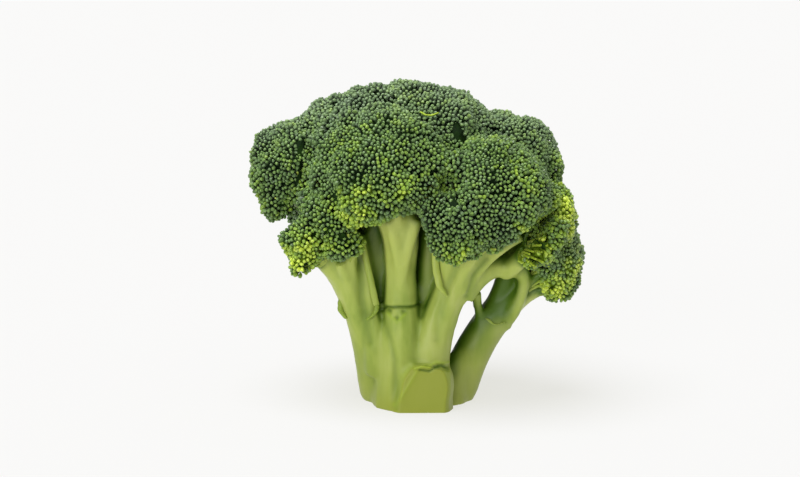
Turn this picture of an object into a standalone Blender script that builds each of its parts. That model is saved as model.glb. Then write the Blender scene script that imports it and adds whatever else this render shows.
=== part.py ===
"""A head of broccoli that stands on the flat cut of its stalk.

The stalk is one grown piece: a core, a branch for each floret that runs down to the
cut as a lobe of the stalk, the stubs of cut leaves, and a few narrow bracts. Each floret
ends in its own crown, a domed cap of flower buds. The buds stand in clusters, and each
cluster is one knob of the crown's surface. Where crowns press on each other they meet
in a plane, as soap bubbles do, with a small gap.

Metres, +Z up. The origin is on the cut, under the middle of the stalk, and the side
that faces -Y is the front.
"""

import math
from collections import namedtuple

import bmesh
import bpy
from mathutils import Vector, noise
from mathutils.geometry import interpolate_bezier

# Gaps between pieces that touch
GAP = 0.0003
SEAT_GROWTH = 0.0006

# Stalk
CORE_CENTRE = (-0.004, 0.001)
CORE_RADIUS = 0.0150
CORE_TOP = 0.050
CORE_PROFILE = ((0.40, 1.00), (0.75, 0.80), (1.00, 0.35))
CUT_DEPTH = 0.0008
FOOT_TAPER = 0.0045
BRANCH_STEPS = 14
BRANCH_BEVEL_RESOLUTION = 4
WAIST_AT = 0.5
FLARE_POWER = 2.5
NECK_IN_CROWN = 0.0020
DOUBLES = 1e-6
STALK_VOXEL = 0.0012
STALK_SMOOTHING = 10
STALK_SMOOTHING_FACTOR = 0.5
STALK_TRIANGLES = 3800
SHARP_ANGLE = math.radians(40)

# Crowns
RIM_DROP = 0.50
HOLLOW_DEPTH = 0.0050
HOLLOW_SLOPE = 0.18
CONTACT_ROUNDING = 0.0034
LEAST_TOWARDS = 0.02
OWN_SHARE = 0.35
MELT_WIDTH = 0.014
MOST_MELT = 0.005
MELT_PASSES = 5
LOBE_WIDTH = 0.014
LOBE_RELIEF = 0.0032

# Knobs on the crowns
KNOB_SPACING = 0.0088
KNOB_RELIEF = 0.0024
LEAST_RELIEF = 0.35
SHOULDER_SHARE = 0.58
SHOULDER_DROP = 0.22
LEAST_SHARE = 0.72
HIDDEN_SPACING = 2.0
MOST_SPACING = 0.60
JITTER = 0.48
JITTER_PITCH = 9.0
EVENING_PASSES = 3
EVENING_FACTOR = 0.5
SEED_STEP = Vector((7.3, 1.7, 4.1))
SHAKE_STEPS = (Vector((9.3, -1.5, -7.9)), Vector((0.2, 3.4, 5.6)), Vector((-6.1, 8.2, 2.7)))
FREE_SHARE = 0.70
FREE_FADE = 0.25
UNDERSIDE_FROM = -0.30
UNDERSIDE_FADE = 0.35

# Colours and roughness
STALK_GREEN = (0.42, 0.52, 0.17, 1.0)
STALK_ROUGHNESS = 0.45
BUD_GREEN = (0.075, 0.14, 0.055, 1.0)
BUD_ROUGHNESS = 0.60

Floret = namedtuple("Floret", "name centre axis radius dome route girth")

# Each floret: the middle of its crown's base, the way its dome faces, the crown's radius
# and dome height, the branch's route (foot and the two handles of its curve) and the
# branch's radius at foot, waist and neck.
FLORETS = [
    Floret("top", (0.000, 0.006, 0.099), (0.08, -0.05, 1.0), 0.036, 0.037,
           ((0.000, 0.002, 0.0), (0.000, 0.003, 0.040), (0.001, 0.005, 0.075)),
           (0.0110, 0.0085, 0.0120)),
    Floret("top_left", (-0.0235, 0.004, 0.100), (-0.36, -0.05, 0.92), 0.0285, 0.030,
           ((-0.006, 0.004, 0.020), (-0.008, 0.004, 0.045), (-0.017, 0.005, 0.076)),
           (0.0080, 0.0070, 0.0090)),
    Floret("front", (-0.0145, -0.0195, 0.0990), (-0.14, -0.63, 0.77), 0.0285, 0.0230,
           ((-0.007, -0.008, 0.0), (-0.0073, -0.011, 0.050), (-0.0060, -0.012, 0.078)),
           (0.0100, 0.0073, 0.0105)),
    Floret("right", (0.030, -0.018, 0.0865), (0.42, -0.66, 0.62), 0.0285, 0.0250,
           ((0.004, -0.008, 0.0), (0.0005, -0.010, 0.034), (0.017, -0.011, 0.052)),
           (0.0095, 0.0072, 0.0100)),
    Floret("mid_front", (0.0115, -0.028, 0.0785), (-0.10, -0.85, 0.35), 0.0170, 0.0135,
           ((0.010, -0.011, 0.036), (0.013, -0.012, 0.050), (0.0135, -0.015, 0.066)),
           (0.0060, 0.0046, 0.0060)),
    Floret("left", (-0.0508, 0.003, 0.0990), (-0.78, -0.22, 0.60), 0.0225, 0.0205,
           ((-0.012, 0.008, 0.0), (-0.017, 0.006, 0.048), (-0.036, 0.006, 0.076)),
           (0.0085, 0.0060, 0.0070)),
    Floret("lower_left", (-0.0370, -0.015, 0.0725), (-0.66, -0.64, 0.16), 0.0205, 0.018,
           ((-0.0150, 0.006, 0.0), (-0.019, -0.005, 0.030), (-0.028, -0.008, 0.049)),
           (0.0090, 0.0066, 0.0085)),
    Floret("left_rim", (-0.0455, -0.018, 0.0682), (-0.72, -0.60, -0.10), 0.0082, 0.0075,
           ((-0.026, -0.008, 0.048), (-0.031, -0.010, 0.053), (-0.038, -0.014, 0.061)),
           (0.0044, 0.0038, 0.0042)),
    Floret("back_right", (0.041, 0.016, 0.101), (0.60, 0.20, 0.75), 0.0225, 0.020,
           ((0.036, 0.006, 0.054), (0.038, 0.010, 0.064), (0.039, 0.013, 0.078)),
           (0.0055, 0.0055, 0.0075)),
    Floret("mid_right", (0.052, 0.003, 0.078), (0.85, -0.25, 0.35), 0.0155, 0.014,
           ((0.036, -0.003, 0.056), (0.041, -0.001, 0.062), (0.045, 0.001, 0.068)),
           (0.0055, 0.0050, 0.0060)),
    Floret("low_right", (0.0565, 0.010, 0.0570), (0.85, -0.25, 0.05), 0.0180, 0.0140,
           ((0.0155, 0.005, 0.0), (0.0205, 0.007, 0.020), (0.034, 0.011, 0.041)),
           (0.0083, 0.0074, 0.0068)),
    Floret("right_rim", (0.0475, -0.013, 0.0680), (0.60, -0.68, -0.05), 0.0115, 0.0090,
           ((0.035, -0.004, 0.056), (0.039, -0.007, 0.058), (0.043, -0.010, 0.063)),
           (0.0044, 0.0040, 0.0046)),
    Floret("back", (0.002, 0.037, 0.090), (0.0, 0.80, 0.60), 0.031, 0.025,
           ((-0.004, 0.010, 0.0), (-0.003, 0.014, 0.045), (0.000, 0.024, 0.070)),
           (0.0095, 0.0070, 0.0100)),
    Floret("back_left", (-0.035, 0.032, 0.083), (-0.62, 0.65, 0.40), 0.025, 0.021,
           ((-0.012, 0.009, 0.010), (-0.014, 0.013, 0.040), (-0.024, 0.022, 0.061)),
           (0.0080, 0.0062, 0.0080)),
    Floret("low_back_left", (-0.013, 0.042, 0.064), (-0.25, 0.90, 0.10), 0.018, 0.015,
           ((-0.008, 0.011, 0.010), (-0.009, 0.016, 0.032), (-0.011, 0.026, 0.049)),
           (0.0070, 0.0054, 0.0062)),
    Floret("low_back_right", (0.027, 0.037, 0.070), (0.45, 0.82, 0.18), 0.020, 0.017,
           ((0.003, 0.009, 0.0), (0.004, 0.013, 0.034), (0.014, 0.021, 0.054)),
           (0.0080, 0.0060, 0.0070)),
]

# A plane that lifts a crown's rim, where its branch shows below it: a point and the way out
RIM_CUTS = {
    "front": ((-0.0140, -0.038, 0.0775), (0.46, 0.0, -0.89)),
    "mid_front": ((0.0005, -0.038, 0.0790), (-0.97, 0.0, -0.22)),
    "lower_left": ((-0.0335, -0.029, 0.0642), (0.30, 0.05, -0.95)),
    "right": ((0.0244, -0.025, 0.0610), (0.62, 0.0, -0.78)),
}

# Each arm that bears no crown of its own: the four points of its curve and its radius at
# start, middle and end. The arch, riser and bridge enclose the two windows on the right, and
# a fill closes the groove on each side of the middle branch.
ARMS = {
    "arch": (((0.0175, -0.010, 0.047), (0.0260, -0.009, 0.0605), (0.036, -0.004, 0.060),
              (0.043, 0.006, 0.056)), (0.0058, 0.0050, 0.0055)),
    "riser": (((0.0325, 0.009, 0.037), (0.0350, 0.008, 0.045), (0.037, 0.006, 0.052),
               (0.038, 0.003, 0.058)), (0.0052, 0.0043, 0.0046)),
    "bridge": (((0.0280, 0.008, 0.024), (0.0265, 0.007, 0.032), (0.0252, 0.003, 0.039),
                (0.0238, -0.004, 0.047)), (0.0050, 0.0020, 0.0030)),
    "leaf_base": (((0.0010, -0.0125, -0.001), (0.0015, -0.0130, 0.005),
                   (0.0030, -0.0130, 0.011), (0.0040, -0.0125, 0.0175)),
                  (0.0125, 0.0114, 0.0094)),
    "outer_ridge": (((0.037, 0.004, 0.034), (0.042, 0.002, 0.041), (0.046, 0.0, 0.050),
                     (0.043, -0.002, 0.058)), (0.0034, 0.0028, 0.0032)),
    "left_ridge": (((-0.016, -0.006, 0.014), (-0.018, -0.011, 0.034), (-0.021, -0.012, 0.052),
                    (-0.025, -0.009, 0.072)), (0.0060, 0.0036, 0.0045)),
    "left_fill": (((-0.015, -0.002, 0.030), (-0.016, -0.003, 0.044), (-0.017, -0.003, 0.058),
                   (-0.018, -0.004, 0.078)), (0.0060, 0.0055, 0.0060)),
    "right_fill": (((0.003, -0.003, 0.034), (0.004, -0.003, 0.046), (0.005, -0.003, 0.058),
                    (0.006, -0.004, 0.078)), (0.0050, 0.0050, 0.0060)),
    "left_bract": (((-0.0225, -0.0135, 0.066), (-0.0195, -0.0150, 0.055),
                    (-0.0160, -0.0150, 0.047), (-0.0205, -0.0135, 0.037)),
                   (0.0020, 0.0016, 0.0016)),
    "right_bract": (((0.0080, -0.0190, 0.064), (0.0085, -0.0185, 0.056),
                     (0.0100, -0.0180, 0.050), (0.0120, -0.0175, 0.044)),
                    (0.0022, 0.0019, 0.0016)),
    "leaf_stub": (((-0.0300, -0.0090, 0.046), (-0.0325, -0.0100, 0.043),
                   (-0.0330, -0.0100, 0.040), (-0.0310, -0.0090, 0.035)),
                  (0.0016, 0.0024, 0.0016)),
    "scar": (((-0.0150, -0.0140, 0.0400), (-0.0120, -0.0200, 0.0385),
              (-0.0040, -0.0200, 0.0385), (-0.0010, -0.0140, 0.0400)),
             (0.0017, 0.0017, 0.0017)),
}

# Where a leaf was cut off at the foot: a point on the flat and the way it faces
FACET_POINT = (0.004, -0.0215, 0.007)
FACET_NORMAL = (0.12, -0.98, -0.10)


def clear_scene():
    for obj in list(bpy.data.objects):
        bpy.data.objects.remove(obj, do_unlink=True)


def new_collection(name, hidden=False):
    collection = bpy.data.collections.new(name)
    bpy.context.scene.collection.children.link(collection)
    collection.hide_render = hidden
    return collection


def material(name, colour, roughness):
    made = bpy.data.materials.new(name)
    made.use_nodes = True
    shader = made.node_tree.nodes["Principled BSDF"]
    shader.inputs["Base Color"].default_value = colour
    shader.inputs["Roughness"].default_value = roughness
    shader.inputs["Metallic"].default_value = 0.0
    made.diffuse_color = colour
    return made


def smoothstep(value):
    value = min(1.0, max(0.0, value))
    return value * value * (3.0 - 2.0 * value)


def smooth_least(a, b, rounding):
    """The lesser of a and b, with the corner between them rounded, and never more."""
    share = min(1.0, max(0.0, 0.5 + 0.5 * (b - a) / rounding))
    return b + (a - b) * share - rounding * share * (1.0 - share)


# The crowns

def axes_of(floret):
    """Rotation that takes +Z to the way the floret's dome faces."""
    return Vector(floret.axis).normalized().to_track_quat("Z", "Y").to_matrix()


def dome_reach(floret, direction):
    """Distance from the base's middle to the crown's free surface, along a local direction."""
    across = math.hypot(direction.x, direction.y)
    height = floret.dome if direction.z >= 0 else floret.radius * RIM_DROP
    reach = 1.0 / math.hypot(across / floret.radius, direction.z / height)
    downward = -direction.z - HOLLOW_SLOPE * across
    if downward > 0:
        reach = smooth_least(reach, HOLLOW_DEPTH / downward, CONTACT_ROUNDING)
    return reach


def neighbours_of(floret):
    """The florets whose domes come near this one's."""
    centre = Vector(floret.centre)
    return [other for other in FLORETS if other is not floret
            and (Vector(other.centre) - centre).length < floret.radius + other.radius + MELT_WIDTH]


def planes_of(floret, neighbours):
    """(normal, distance) of each plane in which this crown meets a neighbour or is cut."""
    planes = []
    if floret.name in RIM_CUTS:
        point, facing = (Vector(values) for values in RIM_CUTS[floret.name])
        facing.normalize()
        planes.append((facing, (point - Vector(floret.centre)).dot(facing)))
    for other in neighbours:
        offset = Vector(other.centre) - Vector(floret.centre)
        distance = offset.length
        middle = (distance**2 + floret.radius**2 - other.radius**2) / (2 * distance)
        middle = max(middle, floret.radius * OWN_SHARE)
        middle = min(middle, distance - other.radius * OWN_SHARE)
        planes.append((offset.normalized(), middle - GAP / 2))
    return planes


def gap_to(floret, point):
    """How far outside the floret's dome a point of space lies, and less than 0 inside."""
    local = axes_of(floret).transposed() @ (point - Vector(floret.centre))
    return local.length - dome_reach(floret, local.normalized())


def canopy_reach(floret, neighbours, direction, world):
    """Distance along a direction to the surface that melts this dome into its neighbours."""
    dome = dome_reach(floret, direction)
    reach = dome
    for _ in range(MELT_PASSES):
        point = Vector(floret.centre) + world * reach
        gap = reach - dome
        for other in neighbours:
            gap = smooth_least(gap, gap_to(other, point), MELT_WIDTH)
        reach -= gap
    return min(reach, dome + MOST_MELT)


def crown_reach(floret, neighbours, direction, turn):
    """(reach, share that is free) of the crown along a local direction."""
    world = turn @ direction
    free = canopy_reach(floret, neighbours, direction, world)
    surface = Vector(floret.centre) + world * free
    free += LOBE_RELIEF * noise.noise(surface / LOBE_WIDTH)
    reach = free
    for normal, distance in planes_of(floret, neighbours):
        towards = normal.dot(world)
        if towards > LEAST_TOWARDS:
            reach = smooth_least(reach, distance / towards, CONTACT_ROUNDING)
    return reach, reach / free


def shake(place):
    """A vector of noise that is the same each time for a place."""
    return Vector([noise.noise(place + step) for step in SHAKE_STEPS])


def above_underside(direction):
    """0 under the crown, 1 on its dome, for a local direction."""
    return smoothstep((direction.z - UNDERSIDE_FROM) / UNDERSIDE_FADE + 0.5)


def knob_directions(floret, neighbours, turn, seed):
    """Middles of the knobs, on a Fibonacci spiral that is thinned where nothing shows."""
    spacing = KNOB_SPACING / floret.radius
    hidden_spacing = min(spacing * HIDDEN_SPACING, MOST_SPACING)
    count = round(4 * math.pi / (math.sqrt(3) / 2 * spacing**2))
    golden = math.pi * (3 - math.sqrt(5))
    kept = []
    for index in range(count):
        z = 1 - 2 * (index + 0.5) / count
        across = math.sqrt(1 - z * z)
        around = golden * index
        direction = Vector((across * math.cos(around), across * math.sin(around), z))
        shift = shake(direction * JITTER_PITCH + seed) * JITTER * spacing
        direction = (direction + shift).normalized()
        share = crown_reach(floret, neighbours, direction, turn)[1]
        shown = smoothstep((share - FREE_SHARE) / FREE_FADE) * above_underside(direction)
        least = hidden_spacing + (spacing * LEAST_SHARE - hidden_spacing) * shown
        if all((direction - other).length > least for other in kept):
            kept.append(direction)
    return kept


def knobbed_ball(directions):
    """A ball with a knob at each direction: hull, then its dual, then a shoulder ring.

    Returns the bmesh and its layer of levels: 1 top of a knob, 0.5 shoulder, 0 valley."""
    bm = bmesh.new()
    level = bm.verts.layers.float.new("level")
    for direction in directions:
        bm.verts.new(direction)[level] = 1.0
    bmesh.ops.convex_hull(bm, input=bm.verts)
    for _ in range(EVENING_PASSES):
        bmesh.ops.smooth_vert(bm, verts=bm.verts, factor=EVENING_FACTOR,
                              use_axis_x=True, use_axis_y=True, use_axis_z=True)
        for vert in bm.verts:
            vert.co.normalize()
    between_tops = list(bm.edges)
    for vert in bmesh.ops.poke(bm, faces=list(bm.faces))["verts"]:
        vert[level] = 0.0
    bmesh.ops.rotate_edges(bm, edges=between_tops, use_ccw=False)
    spokes = [e for e in bm.edges if e.verts[0][level] != e.verts[1][level]]
    bmesh.ops.subdivide_edges(bm, edges=spokes, cuts=1)
    for vert in bm.verts:
        if vert[level] == 0.5:
            ends = [edge.other_vert(vert) for edge in vert.link_edges]
            top = next(end for end in ends if end[level] == 1.0)
            valley = next(end for end in ends if end[level] == 0.0)
            vert.co = top.co.lerp(valley.co, SHOULDER_SHARE)
    for vert in bm.verts:
        vert.co.normalize()
    bmesh.ops.triangulate(bm, faces=bm.faces)
    return bm, level


def crown_mesh(floret, growth=0.0):
    """The crown's closed surface, grown outwards by growth."""
    seed = SEED_STEP * FLORETS.index(floret)
    turn = axes_of(floret)
    neighbours = neighbours_of(floret)
    bm, level = knobbed_ball(knob_directions(floret, neighbours, turn, seed))
    drop = {1.0: 0.0, 0.5: SHOULDER_DROP, 0.0: 1.0}
    for vert in bm.verts:
        direction = vert.co.copy()
        reach, share = crown_reach(floret, neighbours, direction, turn)
        shown = smoothstep((share - FREE_SHARE) / FREE_FADE) * above_underside(direction)
        relief = KNOB_RELIEF * (LEAST_RELIEF + (1.0 - LEAST_RELIEF) * shown)
        vert.co = turn @ direction * (reach - relief * drop[vert[level]] + growth)
    bmesh.ops.translate(bm, verts=bm.verts, vec=Vector(floret.centre))
    bmesh.ops.recalc_face_normals(bm, faces=bm.faces)
    return bm


def object_from(bm, name, collection):
    mesh = bpy.data.meshes.new(name)
    bm.to_mesh(mesh)
    bm.free()
    obj = bpy.data.objects.new(name, mesh)
    collection.objects.link(obj)
    return obj


# The stalk

def branch_radius(girth, share):
    foot, waist, neck = girth
    if share < WAIST_AT:
        return foot + (waist - foot) * smoothstep(share / WAIST_AT)
    return waist + (neck - waist) * ((share - WAIST_AT) / (1 - WAIST_AT)) ** FLARE_POWER


def branch_end(floret):
    """The branch ends just inside the crown, which is then cut from it."""
    return Vector(floret.centre) - Vector(floret.axis).normalized() * NECK_IN_CROWN


def tube(name, points, radii, collection):
    """A round tube through the points, as a mesh."""
    curve = bpy.data.curves.new(name, "CURVE")
    curve.dimensions = "3D"
    curve.bevel_depth = 1.0
    curve.bevel_resolution = BRANCH_BEVEL_RESOLUTION
    curve.use_fill_caps = True
    spline = curve.splines.new("POLY")
    spline.points.add(len(points) - 1)
    for place, point, radius in zip(spline.points, points, radii):
        place.co = (*point, 1.0)
        place.radius = radius
    guide = bpy.data.objects.new(name + "_line", curve)
    collection.objects.link(guide)
    bpy.context.view_layer.update()
    graph = bpy.context.evaluated_depsgraph_get()
    mesh = bpy.data.meshes.new_from_object(guide.evaluated_get(graph))
    bpy.data.objects.remove(guide)
    bm = bmesh.new()
    bm.from_mesh(mesh)
    bmesh.ops.remove_doubles(bm, verts=bm.verts, dist=DOUBLES)
    bmesh.ops.recalc_face_normals(bm, faces=bm.faces)
    bpy.data.meshes.remove(mesh)
    return object_from(bm, name, collection)


def limb(name, ends, girth, collection):
    """A tube along the curve with these four points, from its foot to its neck."""
    foot = Vector(ends[0])
    points = interpolate_bezier(*(Vector(point) for point in ends), BRANCH_STEPS)
    radii = [branch_radius(girth, i / (BRANCH_STEPS - 1)) for i in range(BRANCH_STEPS)]
    if foot.z == 0:
        points[0] = foot + Vector((0, 0, FOOT_TAPER))
        points.insert(0, foot - Vector((0, 0, CUT_DEPTH)))
        radii.insert(0, radii[0] - FOOT_TAPER / 2)
    return tube(name, points, radii, collection)


def core(collection):
    x, y = CORE_CENTRE
    points = [(x, y, -CUT_DEPTH)]
    points += [(x, y, CORE_TOP * height) for height, _ in CORE_PROFILE]
    radii = [CORE_RADIUS]
    radii += [CORE_RADIUS * width for _, width in CORE_PROFILE]
    return tube("core", points, radii, collection)


def joined(objects, name, collection):
    """One object that holds the meshes of all these."""
    bm = bmesh.new()
    for obj in objects:
        bm.from_mesh(obj.data)
        bpy.data.objects.remove(obj)
    return object_from(bm, name, collection)


def apply_modifiers(obj):
    graph = bpy.context.evaluated_depsgraph_get()
    mesh = bpy.data.meshes.new_from_object(obj.evaluated_get(graph))
    obj.modifiers.clear()
    obj.data = mesh


def fuse(obj, triangles):
    """Melts loose shapes into one skin with filleted forks, then thins it."""
    remesh = obj.modifiers.new("melt", "REMESH")
    remesh.mode = "VOXEL"
    remesh.voxel_size = STALK_VOXEL
    smooth = obj.modifiers.new("fillet", "SMOOTH")
    smooth.factor = STALK_SMOOTHING_FACTOR
    smooth.iterations = STALK_SMOOTHING
    apply_modifiers(obj)
    thin = obj.modifiers.new("thin", "DECIMATE")
    thin.ratio = triangles / sum(len(face.vertices) - 2 for face in obj.data.polygons)
    apply_modifiers(obj)


def cut_flat(obj, point, facing):
    """Cuts away what lies beyond the plane and closes the cut with a flat face."""
    bm = bmesh.new()
    bm.from_mesh(obj.data)
    everything = list(bm.verts) + list(bm.edges) + list(bm.faces)
    cut = bmesh.ops.bisect_plane(bm, geom=everything, plane_co=point,
                                 plane_no=facing, clear_outer=True)["geom_cut"]
    rim = [item for item in cut if isinstance(item, bmesh.types.BMEdge)]
    bmesh.ops.contextual_create(bm, geom=rim)
    bmesh.ops.recalc_face_normals(bm, faces=bm.faces)
    bm.to_mesh(obj.data)
    bm.free()


def island_of(vert):
    """All the vertices joined to this one by edges."""
    found = {vert}
    waiting = [vert]
    while waiting:
        here = waiting.pop()
        fresh = {edge.other_vert(here) for edge in here.link_edges} - found
        found |= fresh
        waiting.extend(fresh)
    return found


def drop_crumbs(obj):
    """Keeps only the largest connected piece of a mesh."""
    bm = bmesh.new()
    bm.from_mesh(obj.data)
    unseen = set(bm.verts)
    islands = []
    while unseen:
        islands.append(island_of(next(iter(unseen))))
        unseen -= islands[-1]
    largest = max(islands, key=len)
    crumbs = [vert for vert in bm.verts if vert not in largest]
    bmesh.ops.delete(bm, geom=crumbs, context="VERTS")
    bm.to_mesh(obj.data)
    bm.free()


def finish(obj, coat):
    """Gives the object its material and smooth shading that stops at sharp edges."""
    obj.data.materials.clear()
    obj.data.materials.append(coat)
    obj.data.shade_smooth()
    obj.data.set_sharp_from_angle(angle=SHARP_ANGLE)


def build_stalk(parts, cutters, coat):
    pieces = [core(parts)]
    for floret in FLORETS:
        ends = (*floret.route, branch_end(floret))
        pieces.append(limb("branch_" + floret.name, ends, floret.girth, parts))
    for name, (ends, girth) in ARMS.items():
        pieces.append(limb(name, ends, girth, parts))
    stalk = joined(pieces, "stalk", parts)
    fuse(stalk, STALK_TRIANGLES)
    cut_flat(stalk, FACET_POINT, FACET_NORMAL)
    cut_flat(stalk, (0, 0, 0), (0, 0, -1))
    for floret in FLORETS:
        name = "seat_" + floret.name
        cutter = object_from(crown_mesh(floret, SEAT_GROWTH), name, cutters)
        cutter.hide_render = True
        cutter.display_type = "WIRE"
        seat = stalk.modifiers.new(name, "BOOLEAN")
        seat.operation = "DIFFERENCE"
        seat.object = cutter
    apply_modifiers(stalk)
    drop_crumbs(stalk)
    finish(stalk, coat)


def build():
    clear_scene()
    parts = new_collection("broccoli")
    cutters = new_collection("cutters", hidden=True)
    build_stalk(parts, cutters, material("stalk_green", STALK_GREEN, STALK_ROUGHNESS))
    buds = material("bud_green", BUD_GREEN, BUD_ROUGHNESS)
    for floret in FLORETS:
        crown = object_from(crown_mesh(floret), "crown_" + floret.name, parts)
        finish(crown, buds)


build()
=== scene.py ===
# %% [markdown]
# # A head of broccoli on its cut stalk
# A head of broccoli is one grown piece with two very different surfaces. The stalk and its
# branches are smooth, waxy and pale. Each branch ends in a crown of hundreds of flower
# buds, each about two millimetres long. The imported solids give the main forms: one solid
# for the stalk and one knobbed dome for each crown. This script grows the fine surface on
# them, and the solids stay where they are.

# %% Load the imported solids
import math

import bpy
import numpy as np
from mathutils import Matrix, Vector, noise
from mathutils.bvhtree import BVHTree
from mathutils.geometry import interpolate_bezier


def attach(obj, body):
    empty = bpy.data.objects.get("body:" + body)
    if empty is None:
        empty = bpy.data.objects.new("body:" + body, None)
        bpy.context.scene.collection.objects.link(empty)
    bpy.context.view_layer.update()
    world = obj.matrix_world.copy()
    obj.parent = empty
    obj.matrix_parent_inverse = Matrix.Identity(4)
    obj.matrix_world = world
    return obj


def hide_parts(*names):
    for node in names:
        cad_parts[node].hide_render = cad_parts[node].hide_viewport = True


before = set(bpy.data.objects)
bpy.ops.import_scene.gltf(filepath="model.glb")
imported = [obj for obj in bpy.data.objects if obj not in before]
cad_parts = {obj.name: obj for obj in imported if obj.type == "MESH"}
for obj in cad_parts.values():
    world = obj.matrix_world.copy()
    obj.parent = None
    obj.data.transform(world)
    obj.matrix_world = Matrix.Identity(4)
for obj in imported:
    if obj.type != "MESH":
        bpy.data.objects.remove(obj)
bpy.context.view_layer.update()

MM = 0.001
crown_nodes = sorted(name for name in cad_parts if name.startswith("crown_"))
print("crowns:", len(crown_nodes))

# %% [markdown]
# An operator works on whatever is selected, and loading leaves the solids selected. Small
# helpers keep that under control: one selects a single object, one adds an object for a
# mesh, curve, light or camera, one joins several objects into one, and two open a mesh for
# editing with the right faces selected.

# %% Helpers for selecting, editing and joining
SAME_CORNER = 0.01 * MM


def only(obj):
    """Makes this the one selected and active object."""
    bpy.ops.object.select_all(action="DESELECT")
    obj.select_set(True)
    bpy.context.view_layer.objects.active = obj


def new_object(name, data):
    obj = bpy.data.objects.new(name, data)
    bpy.context.scene.collection.objects.link(obj)
    return obj


def join(objects, name):
    only(objects[0])
    for obj in objects:
        obj.select_set(True)
    bpy.ops.object.join()
    objects[0].name = name
    return objects[0]


def edit_all(obj):
    """Opens a mesh for editing with all of it selected."""
    only(obj)
    bpy.ops.object.mode_set(mode="EDIT")
    bpy.ops.mesh.select_all(action="SELECT")


def edit_faces(obj, chosen):
    """Opens a mesh for editing with only the chosen faces selected."""
    only(obj)
    bpy.ops.object.mode_set(mode="EDIT")
    bpy.ops.mesh.select_mode(type="FACE")
    bpy.ops.mesh.select_all(action="DESELECT")
    bpy.ops.object.mode_set(mode="OBJECT")
    obj.data.polygons.foreach_set("select", chosen)
    bpy.ops.object.mode_set(mode="EDIT")


def merged_copy(node, name):
    """A copy of a solid whose loose triangles share their corners."""
    obj = new_object(name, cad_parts[node].data.copy())
    obj.data.materials.clear()
    edit_all(obj)
    bpy.ops.mesh.remove_doubles(threshold=SAME_CORNER)
    bpy.ops.object.mode_set(mode="OBJECT")
    return obj


# %% [markdown]
# A mesh is easy to measure once its vertices are rows of numbers. The next helpers read
# them, move them, store one number for each vertex, and make a vertex group that weighs a
# modifier.

# %% Helpers for measuring a mesh


def triangles(obj):
    return sum(len(face.vertices) - 2 for face in obj.data.polygons)


def rows_of(items, key):
    """Three numbers for each vertex, normal or face, as rows."""
    flat = np.empty(len(items) * 3, np.float32)
    items.foreach_get(key, flat)
    return flat.reshape(-1, 3).astype(float)


def vertices_of(obj):
    return rows_of(obj.data.vertices, "co")


def normals_of(obj):
    return rows_of(obj.data.vertex_normals, "vector")


def smoothstep(value):
    value = np.clip(value, 0.0, 1.0)
    return value * value * (3.0 - 2.0 * value)


def move_to(obj, places):
    """Moves every vertex to its row of places."""
    obj.data.vertices.foreach_set("co", places.astype(np.float32).reshape(-1))
    obj.data.update()


def store(obj, name, values):
    """Keeps one number for each vertex, for a material or a node group to read."""
    layer = obj.data.attributes.new(name, "FLOAT", "POINT")
    layer.data.foreach_set("value", np.asarray(values, np.float32))


def weigh(obj, name, values):
    """Makes a vertex group whose weights are these values, and returns its name."""
    group = obj.vertex_groups.new(name=name)
    for index, value in enumerate(values):
        group.add([index], float(value), "REPLACE")
    return name


# %% [markdown]
# Three modifiers do most of the shaping. Displace moves vertices along their normals, and
# Smooth averages them with their neighbours. A voxel Remesh builds a skin anew with even
# faces: it melts pieces that overlap into one, and clears folds. The mesh stays simple to
# reason about when every modifier is applied at the end of its step.

# %% Helpers for modifiers


def displace(obj, name, strength, mid_level=0.0, texture=None, weights=""):
    modifier = obj.modifiers.new(name, "DISPLACE")
    modifier.strength = strength
    modifier.mid_level = mid_level
    modifier.vertex_group = weights
    if texture:
        modifier.texture = texture
        modifier.texture_coords = "LOCAL"


def smooth_by(obj, name, rounds, weights=""):
    modifier = obj.modifiers.new(name, "SMOOTH")
    modifier.iterations = rounds
    modifier.vertex_group = weights


def rebuild(obj, name, voxel_size):
    modifier = obj.modifiers.new(name, "REMESH")
    modifier.mode = "VOXEL"
    modifier.voxel_size = voxel_size


def apply_modifiers(obj):
    only(obj)
    for modifier in list(obj.modifiers):
        bpy.ops.object.modifier_apply(modifier=modifier.name)


# %% [markdown]
# The plan of the plant is a table. Each floret has the middle and the facing of its crown,
# the crown's radius, the route of its branch and the branch's thickness, all in
# millimetres. They are the measurements that the solids were built from, so the new stalk
# meets the crowns. Only the middle branch is a little slimmer here, as on the real head.

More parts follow.
